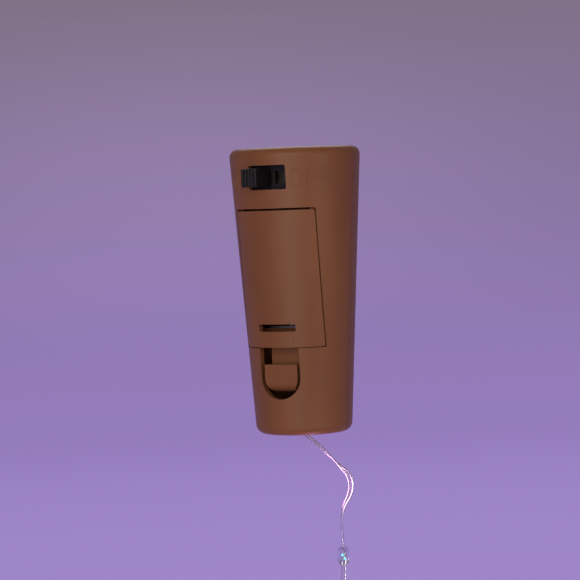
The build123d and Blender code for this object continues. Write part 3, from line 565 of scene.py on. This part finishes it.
# Distance along the wire, and turns of the pair at that distance
twist_stops = [
    (0.0, 0.15), (0.0045, 0.17), (0.0078, 0.25), (0.0118, 0.48), (0.0155, 0.66),
    (0.0185, 0.75), (0.0235, 0.79), (0.032, 1.1),
]
steady_pitch = 0.009


def turns_at(along):
    """Turns of the strand pair at a distance along the wire."""
    for (start, before), (stop, after) in zip(twist_stops, twist_stops[1:]):
        if along <= stop:
            return before + (after - before) * (along - start) / (stop - start)
    return twist_stops[-1][1] + (along - twist_stops[-1][0]) / steady_pitch


strands = bmesh.new()
for side in (1, -1):
    rings = []
    for place, along in zip(route, lengths):
        way = place_on_wire(along)[1]
        in_plane, out_of_plane = sides_of_wire(way)
        angle = 2 * pi * turns_at(along)
        offset = in_plane * cos(angle) + out_of_plane * sin(angle)
        centre = place + offset * (side * strand_offset)
        rings.append(ring_round(centre, in_plane, out_of_plane, strand_radius, strand_sides))
    skin_rings(strands, rings)
wire_strands = new_piece("wire_strands", strands, [silver_wire], "casing")
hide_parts("light_wire", "wire_coil")
print("faces of the strands:", len(wire_strands.data.polygons))

# %% [markdown]
# ## Clear drops
# Each lamp is sealed in a drop of clear resin that was set over the wire. Surface tension
# gives it its form: full in the middle, and drawn in to the wire at both ends. It is turned
# round the route itself, so that on the coil it bends with the wire.

# %% Finish of the drops
clear_resin = new_finish("clear_resin", roughness=0.12)
shader_input(clear_resin, "Transmission Weight").default_value = 1.0
shader_input(clear_resin, "IOR").default_value = 1.45
colour_between(
    clear_resin, clouds(clear_resin, 0.8 * MM, detail=2), seen(236, 246, 252), seen(250, 253, 255)
)
grain(clear_resin, clouds(clear_resin, 0.5 * MM, detail=2), 0.01 * MM, 0.4)
print("finish of the drops:", clear_resin.name)

# %% Resin drops
drop_count = 10
drop_pitch = 0.1
first_drop = 0.0246
drop_radius = 0.001
drop_length = 0.003
wire_radius = 0.0005
rings_in_drop = 14
drop_sides = 24
# A larger middle power makes a drop fuller, a smaller end power makes its ends blunter
middle_power, end_power = 2.6, 0.55
last_drop_margin = 0.0004


def drop_place(number):
    """Distance along the wire of a lamp's middle."""
    return min(first_drop + drop_pitch * number, wire_length - last_drop_margin)


for number in range(drop_count):
    rings = []
    for step in range(rings_in_drop + 1):
        even_share = 2 * step / rings_in_drop - 1
        share = sin(even_share * pi / 2)
        along = drop_place(number) + share * drop_length / 2
        place, way = place_on_wire(along)
        # Past the end of the wire the drop goes straight on
        place = place + way * (along - min(max(along, 0), wire_length))
        in_plane, out_of_plane = sides_of_wire(way)
        swell = (1 - abs(share) ** middle_power) ** end_power
        radius = wire_radius + (drop_radius - wire_radius) * swell
        rings.append(ring_round(place, in_plane, out_of_plane, radius, drop_sides))
    drop_mesh = bmesh.new()
    skin_rings(drop_mesh, rings)
    drop = new_piece(
        f"resin_drop_{number + 1:02d}", drop_mesh, [clear_resin], "casing"
    )
    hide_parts(f"led_drop_{number + 1:02d}")

# %% [markdown]
# ## Lamp chips
# Inside each drop a small chip sits on the wire, with two lit windows in a pale frame. The
# chips along the string glow in different colours. The glow is a colour with a strength
# a little over 1, so it looks lit without washing out to white.

# %% Finishes of the chips
chip_frame = new_finish("chip_frame", roughness=0.5)
colour_between(
    chip_frame, clouds(chip_frame, 0.3 * MM, detail=2), seen(206, 204, 192), seen(226, 224, 214)
)
glow_strength = 1.6


def lit_window(name, colour):
    """Window of a chip that gives off light of one colour."""
    finish = new_finish(name, roughness=0.4)
    colour_between(finish, clouds(finish, 0.2 * MM, detail=2), colour, colour)
    shader_input(finish, "Emission Color").default_value = colour
    shader_input(finish, "Emission Strength").default_value = glow_strength
    return finish


glows = [
    lit_window("lit_aqua", seen(96, 208, 255)),
    lit_window("lit_rose", seen(255, 92, 168)),
    lit_window("lit_green", seen(120, 255, 150)),
    lit_window("lit_violet", seen(150, 110, 255)),
    lit_window("lit_amber", seen(255, 190, 96)),
]
print("colours of glow:", len(glows))

# %% [markdown]
# ## Blocks
# A chip, its windows and the parts behind the switch's knob are plain blocks. A cube from
# the menu would have to be turned and scaled. Here the eight corners are worked out from
# the middle, three directions and three sizes, so that a block can lean with the wire.

# %% Helper for blocks
def add_block(mesh, centre, directions, sizes, finish_index=0):
    """Block with its middle, three directions and three sizes."""
    corners = []
    for signs in ((-1, -1, -1), (1, -1, -1), (1, 1, -1), (-1, 1, -1),
                  (-1, -1, 1), (1, -1, 1), (1, 1, 1), (-1, 1, 1)):
        corner = centre.copy()
        for sign, direction, size in zip(signs, directions, sizes):
            corner = corner + direction * (sign * size / 2)
        corners.append(mesh.verts.new(corner))
    for face in ((0, 3, 2, 1), (4, 5, 6, 7), (0, 1, 5, 4), (1, 2, 6, 5), (2, 3, 7, 6), (3, 0, 4, 7)):
        mesh.faces.new([corners[index] for index in face]).material_index = finish_index


print("helper for blocks is ready")

# %% Chips
# Length along the wire, width across it and thickness
chip_sizes = (0.00105, 0.0007, 0.00022)
window_sizes = (0.00034, 0.00028, 0.00006)
chip_rise = 0.00017
window_along, window_across, window_rise = 0.00029, 0.00019, 0.00012
for number in range(drop_count):
    place, way = place_on_wire(drop_place(number))
    in_plane, out_of_plane = sides_of_wire(way)
    out, across = (-out_of_plane, in_plane) if number == 0 else (in_plane, out_of_plane)
    seat = place + out * (wire_radius + chip_rise)
    chip_mesh = bmesh.new()
    add_block(chip_mesh, seat, (way, across, out), chip_sizes)
    for end in (-1, 1):
        window = seat + way * (end * window_along) - across * (end * window_across)
        window = window + out * window_rise
        add_block(chip_mesh, window, (way, across, out), window_sizes, finish_index=1)
    chip = new_piece(
        f"lamp_chip_{number + 1:02d}", chip_mesh, [chip_frame, glows[number % len(glows)]],
        "casing", smooth=False,
    )
    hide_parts("led_chips")

# %% [markdown]
# ## The twist tie
# The coil is held by a flat plastic tie with a wire core, as such strings come packed. It
# goes once round all the turns, and its two ends are twisted together behind. The band is a
# loop of small cross-sections with a thicker rib along the middle, where the core is.

# %% Twist tie
tie_white = new_finish("tie_white", roughness=0.4)
colour_between(
    tie_white, clouds(tie_white, 1.0 * MM, detail=3), seen(222, 222, 218), seen(238, 238, 235)
)
grain(tie_white, clouds(tie_white, 0.3 * MM, detail=2), 0.01 * MM, 0.5)

tie_width = 0.0024
tie_thickness = 0.0004
tie_gap = 0.0003
tie_corner = 0.0012
corner_steps = 6
bundle_low = coil_centre.z + coil_inner_radius - wire_radius - tie_gap
bundle_high = coil_centre.z + coil_outer_radius + wire_radius + tie_gap
bundle_depth = (coil_layers - 1) * coil_pitch + 2 * wire_radius + 2 * tie_gap
tie_centre = coil_centre + behind * ((coil_layers - 1) * coil_pitch / 2)
tie_centre.z = (bundle_low + bundle_high) / 2
half_deep, half_high = bundle_depth / 2, (bundle_high - bundle_low) / 2

# Cross-section: distance across the band, and its height above the inner face
band_section = [(-0.5, 0.1), (-0.5, 0.5), (-0.2, 0.55), (-0.12, 0.95), (0.12, 0.95),
                (0.2, 0.55), (0.5, 0.5), (0.5, 0.1)]
tie_mesh = bmesh.new()
rings = []
for quarter in range(4):
    for step in range(corner_steps + 1):
        angle = pi / 2 * (quarter + step / corner_steps)
        deep = (half_deep - tie_corner) * (1 if quarter in (0, 3) else -1)
        high = (half_high - tie_corner) * (1 if quarter in (0, 1) else -1)
        outward = behind * cos(angle) + upward * sin(angle)
        corner = tie_centre + behind * deep + upward * high
        rings.append([
            corner + hang * (across * tie_width) + outward * (tie_corner + height * tie_thickness)
            for across, height in band_section
        ])
skin_rings(tie_mesh, rings, closed_loop=True)
print("rings round the coil:", len(rings))

# %% Twisted tails of the tie
tail_length = 0.005
tail_half_turns = 2.5
tail_offset = 0.00022
tail_width = 0.0008
tail_thickness = 0.0003
tail_steps = 24
tail_section = [(-0.5, -0.35), (0, -0.6), (0.5, -0.35), (0.5, 0.35), (0, 0.6), (-0.5, 0.35)]
tail_root = tie_centre + behind * (half_deep + tie_thickness / 2)
for start in (0, pi):
    rings = []
    for step in range(tail_steps + 1):
        share = step / tail_steps
        angle = start + share * tail_half_turns * pi
        first = hang * cos(angle) + upward * sin(angle)
        second = upward * cos(angle) - hang * sin(angle)
        centre = tail_root + behind * (share * tail_length) + first * tail_offset
        rings.append([
            centre + second * (across * tail_width) + first * (height * tail_thickness)
            for across, height in tail_section
        ])
    skin_rings(tie_mesh, rings)
coil_tie = new_piece("coil_tie", tie_mesh, [tie_white], "casing")
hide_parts("wire_tie")
print("faces of the tie:", len(coil_tie.data.polygons))

# %% [markdown]

# %% [markdown]
# ## The switch's knob
# The knob that the thumb pushes is black, with upright ribs across its face. In the CAD file
# it has sharp corners. Here its outline is drawn from above, pushed through its height, and
# its edges are then rounded by a bevel, because a thin bright line on each rib is what makes
# it read as moulded plastic. The stem and the carriage behind the slot belong to it.

# %% Ribbed knob
knob_low, knob_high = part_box("switch_knob")
knob_middle = (knob_low + knob_high) / 2
knob_width = 0.0028
knob_height = 0.003
knob_face = knob_low.y
knob_back = -0.00815
knob_bevel_width = 0.00009
groove_count = 4
groove_width = 0.0003
groove_depth = 0.0003
groove_pitch = knob_width / (groove_count + 1)
outline = [(-knob_width / 2, knob_back), (-knob_width / 2, knob_face)]
for index in range(groove_count):
    middle_of_groove = (index - (groove_count - 1) / 2) * groove_pitch
    outline += [
        (middle_of_groove - groove_width / 2, knob_face),
        (middle_of_groove - groove_width / 4, knob_face + groove_depth),
        (middle_of_groove + groove_width / 4, knob_face + groove_depth),
        (middle_of_groove + groove_width / 2, knob_face),
    ]
outline += [(knob_width / 2, knob_face), (knob_width / 2, knob_back)]
knob_mesh = bmesh.new()
layers = []
for height in (knob_middle.z - knob_height / 2, knob_middle.z + knob_height / 2):
    layers.append([Vector((knob_middle.x + across, deep, height)) for across, deep in outline])
skin_rings(knob_mesh, layers)
print("corners of the knob's outline:", len(outline))

# %% Stem and carriage behind the knob
stem_width = 0.002
stem_height = 0.0018
carriage_width = 0.0038
carriage_depth = 0.0006
level_axes = (Vector((1, 0, 0)), Vector((0, 1, 0)), Vector((0, 0, 1)))
stem_middle = Vector((knob_middle.x, (knob_back + knob_high.y) / 2, knob_middle.z))
stem_sizes = (stem_width, knob_high.y - knob_back, stem_height)
add_block(knob_mesh, stem_middle, level_axes, stem_sizes)
carriage_middle = Vector((knob_middle.x, knob_high.y - carriage_depth / 2, knob_middle.z))
carriage_sizes = (carriage_width, carriage_depth, knob_high.z - knob_low.z)
add_block(knob_mesh, carriage_middle, level_axes, carriage_sizes)
ribbed_knob = new_piece(
    "ribbed_knob", knob_mesh, [knob_black], "switch", smooth=False
)
bevel = ribbed_knob.modifiers.new("soft_edges", "BEVEL")
bevel.width = knob_bevel_width
bevel.segments = 2
bevel.limit_method = "ANGLE"
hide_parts("switch_knob")
print("lowest corner of the knob in mm:", [round(value / MM, 2) for value in knob_low])
print("highest corner of the knob in mm:", [round(value / MM, 2) for value in knob_high])

# %% [markdown]
# ## Raised words
# The mould leaves two low words beside the switch, in the casing's own plastic: ON on the
# side where the knob is now, OFF on the other. They stand out by 0.07 mm, so only their edges
# show. A font could be bent round the casing. Strokes are simpler: each is a low ridge laid
# along a few points, and each point is wrapped on the taper.

# %% Strokes wrapped on the taper
casing_height = 0.0477
end_radius = 0.008
radius_gain = 0.003
letter_width = 0.0018
letter_height = 0.0029
word_height = 0.0215
relief = 0.00007
# Half widths of a ridge at its foot and top, and how far its foot is sunk in
ridge_foot = 0.00024
ridge_top = 0.00015
ridge_root = 0.00008
ridge_section = [
    (-ridge_foot, -ridge_root), (-ridge_top, relief), (ridge_top, relief), (ridge_foot, -ridge_root)
]


def on_taper(arc, height, out):
    """Point on the casing at a distance round it, a height and a distance off the face."""
    radius = end_radius + radius_gain * (height - casing_end) / casing_height
    angle = arc / radius
    return Vector((sin(angle) * (radius + out), -cos(angle) * (radius + out), height))


def add_ridge(mesh, points, closed=False):
    """Low ridge with sloped sides along points given by distance round and height."""
    rings = []
    count = len(points)
    for index, (arc, height) in enumerate(points):
        before = points[(index - 1) % count] if closed or index > 0 else points[index]
        after = points[(index + 1) % count] if closed or index < count - 1 else points[index]
        run = Vector((after[0] - before[0], after[1] - before[1]))
        run.normalize()
        rings.append([
            on_taper(arc - run.y * across, height + run.x * across, out)
            for across, out in ridge_section
        ])
    skin_rings(mesh, rings, closed_loop=closed)


print("the words stand out by, in mm:", round(relief / MM, 2))

# %% [markdown]
# ## Letters as strokes
# Only three letters are needed. An O is one closed stroke, and F and N are three straight
# ones each. A stroke has points along it, so that it follows the round casing.

# %% Strokes of the letters
round_steps = 32
slanted_steps = 8
short_arm = 0.2


def straight(first, second, steps=5):
    """Points on a straight stroke."""
    points = []
    for step in range(steps + 1):
        arc = first[0] + (second[0] - first[0]) * step / steps
        height = first[1] + (second[1] - first[1]) * step / steps
        points.append((arc, height))
    return points


def round_stroke(middle):
    """Points round an O whose middle is at a distance round the casing."""
    points = []
    for step in range(round_steps):
        angle = 2 * pi * step / round_steps
        arc = middle + cos(angle) * letter_width / 2
        points.append((arc, word_height + sin(angle) * letter_height / 2))
    return points


def letter_strokes(letter, start):
    """Strokes of a letter with its left edge at a distance round, and whether they close."""
    low, high = word_height - letter_height / 2, word_height + letter_height / 2
    end = start + letter_width
    if letter == "O":
        return [(round_stroke(start + letter_width / 2), True)]
    upright = (straight((start, low), (start, high)), False)
    if letter == "F":
        return [
            upright,
            (straight((start, high), (end, high)), False),
            (straight((start, word_height), (end - letter_width * short_arm, word_height)), False),
        ]
    return [
        upright,
        (straight((start, high), (end, low), slanted_steps), False),
        (straight((end, low), (end, high)), False),
    ]


print("strokes in an O, an F and an N:", [len(letter_strokes(letter, 0)) for letter in "OFN"])

# %% Both words
# Left edge of each letter, as a distance round the casing from its front
letter_starts = {"OFF": (0.0043, 0.007, 0.0095), "ON": (-0.0087, -0.0061)}
for word, starts in letter_starts.items():
    word_mesh = bmesh.new()
    for letter, start in zip(word, starts):
        for points, closed in letter_strokes(letter, start):
            add_ridge(word_mesh, points, closed)
    new_piece(
        "word_" + word.lower(), word_mesh, [moulded_brown], "casing", smooth=False
    )
print("words:", " and ".join(letter_starts))

# %% [markdown]
# ## The studio
# The light stands in a round studio: a flat floor that turns up into a wall with no corner.
# A plane with a bent back would do for one view. A round bowl looks the same from all sides.
# It is stage, so it doesn't count as a part of the light.

# %% Floor and wall
floor_gap = 0.0006
flat_reach = 0.3
bend_radius = 0.9
bend_steps = 16
wall_height = 2.2
steps_round = 96
floor_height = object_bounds()[0].z - floor_gap
# Distance from the middle, and height above the floor
profile = [(0.0001, 0), (0.1, 0), (0.2, 0), (flat_reach, 0)]
for step in range(1, bend_steps + 1):
    angle = pi / 2 * step / bend_steps
    profile.append((flat_reach + bend_radius * sin(angle), bend_radius * (1 - cos(angle))))
profile.append((flat_reach + bend_radius, wall_height))
studio = bmesh.new()
grid = []
for across, height in profile:
    ring = []
    for index in range(steps_round):
        angle = 2 * pi * index / steps_round
        corner = (across * cos(angle), across * sin(angle), floor_height + height)
        ring.append(studio.verts.new(corner))
    grid.append(ring)
for first, second in zip(grid, grid[1:]):
    for index in range(steps_round):
        following = (index + 1) % steps_round
        studio.faces.new((first[index], first[following], second[following], second[index]))
studio_data = bpy.data.meshes.new("studio")
studio.to_mesh(studio_data)
studio.free()
for face in studio_data.polygons:
    face.use_smooth = True
studio_bowl = bpy.data.objects.new("studio", studio_data)
bpy.context.scene.collection.objects.link(studio_bowl)
print("floor height in mm:", round(floor_height / MM, 2))

# %% [markdown]
# ## Colour of the studio
# The colour runs from a cool violet near the floor to a greyer violet above, and a faint pool
# of light lies on the wall behind the object. Lamps could make both, but they would also
# light the object. So the height sets the colour, and the distance from one point on the
# wall makes it a little paler there.

# %% Colour by height, with a paler pool
fade_height = 0.2
pool_middle = -towards * 0.75 - right * 0.05
pool_from, pool_to = 0.02, 0.24
pool_gain, pool_loss = 1.16, 0.97

studio_violet = bpy.data.materials.new("studio_violet")
studio_violet.use_nodes = True
tree = studio_violet.node_tree
tree.nodes.clear()
output = tree.nodes.new("ShaderNodeOutputMaterial")
place = tree.nodes.new("ShaderNodeTexCoord")
split = tree.nodes.new("ShaderNodeSeparateXYZ")
tree.links.new(place.outputs["Object"], split.inputs["Vector"])
climb = rescaled(tree, split.outputs["Z"], (floor_height, floor_height + fade_height))
ramp = tree.nodes.new("ShaderNodeValToRGB")
ramp.color_ramp.elements[0].color = seen(160, 136, 203)
ramp.color_ramp.elements[1].color = seen(130, 114, 136)
for share, colour in ((0.06, seen(151, 127, 191)), (0.45, seen(139, 119, 164))):
    ramp.color_ramp.elements.new(share).color = colour
tree.links.new(climb.outputs["Result"], ramp.inputs["Fac"])

pool_reach = tree.nodes.new("ShaderNodeVectorMath")
pool_reach.operation = "DISTANCE"
pool_reach.inputs[1].default_value = pool_middle
tree.links.new(place.outputs["Object"], pool_reach.inputs[0])
pool = rescaled(tree, pool_reach.outputs["Value"], (pool_from, pool_to), (pool_gain, pool_loss))
pool.interpolation_type = "SMOOTHSTEP"
pooled = tree.nodes.new("ShaderNodeVectorMath")
pooled.operation = "SCALE"
tree.links.new(ramp.outputs["Color"], pooled.inputs[0])
tree.links.new(pool.outputs["Result"], pooled.inputs["Scale"])
print("stops of the studio's colour:", len(ramp.color_ramp.elements))

# %% [markdown]
# ## Floor that is lit, wall that is plain
# Near the light the floor is a dull surface that takes light and shadow. Farther off it
# shows its colour as it is, whatever the lamps do, so the picture's ground stays even. One
# shader changes into the other with the distance from the middle.

# %% Lit floor and plain wall
floor_gain = 1.8
plain_from, plain_to = 0.1, 0.26

near_floor = tree.nodes.new("ShaderNodeVectorMath")
near_floor.operation = "SCALE"
near_floor.inputs["Scale"].default_value = floor_gain
tree.links.new(pooled.outputs["Vector"], near_floor.inputs[0])
lit = tree.nodes.new("ShaderNodeBsdfDiffuse")
tree.links.new(near_floor.outputs["Vector"], lit.inputs["Color"])
shown = tree.nodes.new("ShaderNodeEmission")
tree.links.new(pooled.outputs["Vector"], shown.inputs["Color"])
reach = tree.nodes.new("ShaderNodeVectorMath")
reach.operation = "LENGTH"
tree.links.new(place.outputs["Object"], reach.inputs[0])
far = rescaled(tree, reach.outputs["Value"], (plain_from, plain_to))
ground = tree.nodes.new("ShaderNodeMixShader")
tree.links.new(far.outputs["Result"], ground.inputs["Fac"])
tree.links.new(lit.outputs["BSDF"], ground.inputs[1])
tree.links.new(shown.outputs["Emission"], ground.inputs[2])
print("the wall is plain from", plain_to, "m on")

# %% [markdown]
# ## What sees the studio
# The camera, reflections and clear pieces see the studio. All other light passes through it,
# so that the object is lit by the lamps and the world, and not by the studio's own colour.

# %% Rays that see the studio
def larger(first, second):
    """The larger of two values in the studio's material."""
    node = tree.nodes.new("ShaderNodeMath")
    node.operation = "MAXIMUM"
    tree.links.new(first, node.inputs[0])
    tree.links.new(second, node.inputs[1])
    return node.outputs["Value"]


rays = tree.nodes.new("ShaderNodeLightPath").outputs
seen_or_mirrored = larger(rays["Is Camera Ray"], rays["Is Glossy Ray"])
sees_studio = larger(seen_or_mirrored, rays["Is Transmission Ray"])
passing = tree.nodes.new("ShaderNodeBsdfTransparent")
choice = tree.nodes.new("ShaderNodeMixShader")
tree.links.new(sees_studio, choice.inputs["Fac"])
tree.links.new(passing.outputs["BSDF"], choice.inputs[1])
tree.links.new(ground.outputs["Shader"], choice.inputs[2])
tree.links.new(choice.outputs["Shader"], output.inputs["Surface"])
studio_data.materials.append(studio_violet)
print("nodes in the studio's material:", len(tree.nodes))

# %% [markdown]
# ## Large soft lamps
# Soft light comes from one large lamp in front, a little to the left of the camera, and a
# smaller one fills the right side. A third, high behind, lights the back and draws a fine line
# along the top edge. The level is plain: a surface that faces the large lamp shows about the
# colour it was given. Lamps could be placed by hand. An angle and a distance round the light
# say better where each one stands.

# %% Large soft lamps
def soft_lamp(name, angle, height, reach, size, power, colour):
    """Large square lamp at an angle round the light, aimed at it."""
    data = bpy.data.lights.new(name, "AREA")
    data.size = size
    data.energy = power
    data.color = colour
    lamp = bpy.data.objects.new(name, data)
    angle = radians(angle)
    lamp.location = (sin(angle) * reach, -cos(angle) * reach, height)
    lamp.rotation_euler = (-lamp.location).to_track_quat("-Z", "Y").to_euler()
    bpy.context.scene.collection.objects.link(lamp)


soft_lamp(
    "front_lamp", angle=13, height=0.08, reach=0.68, size=0.5, power=2.85, colour=(1, 0.97, 0.86)
)
soft_lamp(
    "side_lamp", angle=72, height=0.03, reach=0.6, size=0.16, power=0.42, colour=(1, 0.98, 0.92)
)
soft_lamp(
    "back_lamp", angle=207, height=0.52, reach=0.46, size=0.4, power=2.1, colour=(1, 0.95, 0.95)
)
print("large lamps: 3")

# %% [markdown]
# ## Two small lamps for the wire
# Two very small lamps are for the wire. One stands in for the pink glow of the string just
# under the casing, and hides from the camera. The other is a narrow spot from the right that
# draws a bright line on the bend. Making the wire itself glow would be simpler, but then it
# would glow along its whole length.

# %% Small lamps for the wire
glow_drop, glow_aside, glow_forward = 0.0102, 0.0018, 0.0035
glow_data = bpy.data.lights.new("string_glow", "POINT")
glow_data.energy = 0.0024
glow_data.color = (1, 0.42, 0.68)
glow_data.shadow_soft_size = 0.0025
glow_lamp = bpy.data.objects.new("string_glow", glow_data)
glow_lamp.location = (
    upward * (casing_end - glow_drop) + hang * glow_aside - behind * glow_forward
)
glow_lamp.visible_camera = False
bpy.context.scene.collection.objects.link(glow_lamp)

glint_angle = radians(62)
glint_distance = 0.25
bend_drop, bend_aside = 0.0148, 0.0065
glint_data = bpy.data.lights.new("glint_lamp", "SPOT")
glint_data.energy = 0.8
glint_data.spot_size = radians(5.5)
glint_data.spot_blend = 0.6
glint_data.shadow_soft_size = 0.02
glint_lamp = bpy.data.objects.new("glint_lamp", glint_data)
glint_aim = hang * bend_aside + upward * (casing_end - bend_drop)
glint_way = Vector((sin(glint_angle), -cos(glint_angle), 0))
glint_lamp.location = glint_aim + glint_way * glint_distance
glint_lamp.rotation_euler = (glint_aim - glint_lamp.location).to_track_quat("-Z", "Y").to_euler()
bpy.context.scene.collection.objects.link(glint_lamp)
print("small lamps: 2")

# %% [markdown]
# ## Light from all sides
# The world adds a soft light from all sides, as a room does. It is violet from below, where a
# coloured table would throw light up, and grey from above.

# %% World
world_strength = 0.32
world = bpy.data.worlds.new("room")
world.use_nodes = True
room = world.node_tree
room_light = room.nodes["Background"]
room_place = room.nodes.new("ShaderNodeTexCoord")
room_split = room.nodes.new("ShaderNodeSeparateXYZ")
room.links.new(room_place.outputs["Generated"], room_split.inputs["Vector"])
room_height = rescaled(room, room_split.outputs["Z"], (-1, 1))
room_ramp = room.nodes.new("ShaderNodeValToRGB")
room_ramp.color_ramp.elements[0].color = (0.95, 0.74, 0.98, 1)
room_ramp.color_ramp.elements[1].color = (0.38, 0.35, 0.34, 1)
room.links.new(room_height.outputs["Result"], room_ramp.inputs["Fac"])
room.links.new(room_ramp.outputs["Color"], room_light.inputs["Color"])
room_light.inputs["Strength"].default_value = world_strength
bpy.context.scene.world = world
print("strength of the world:", world_strength)
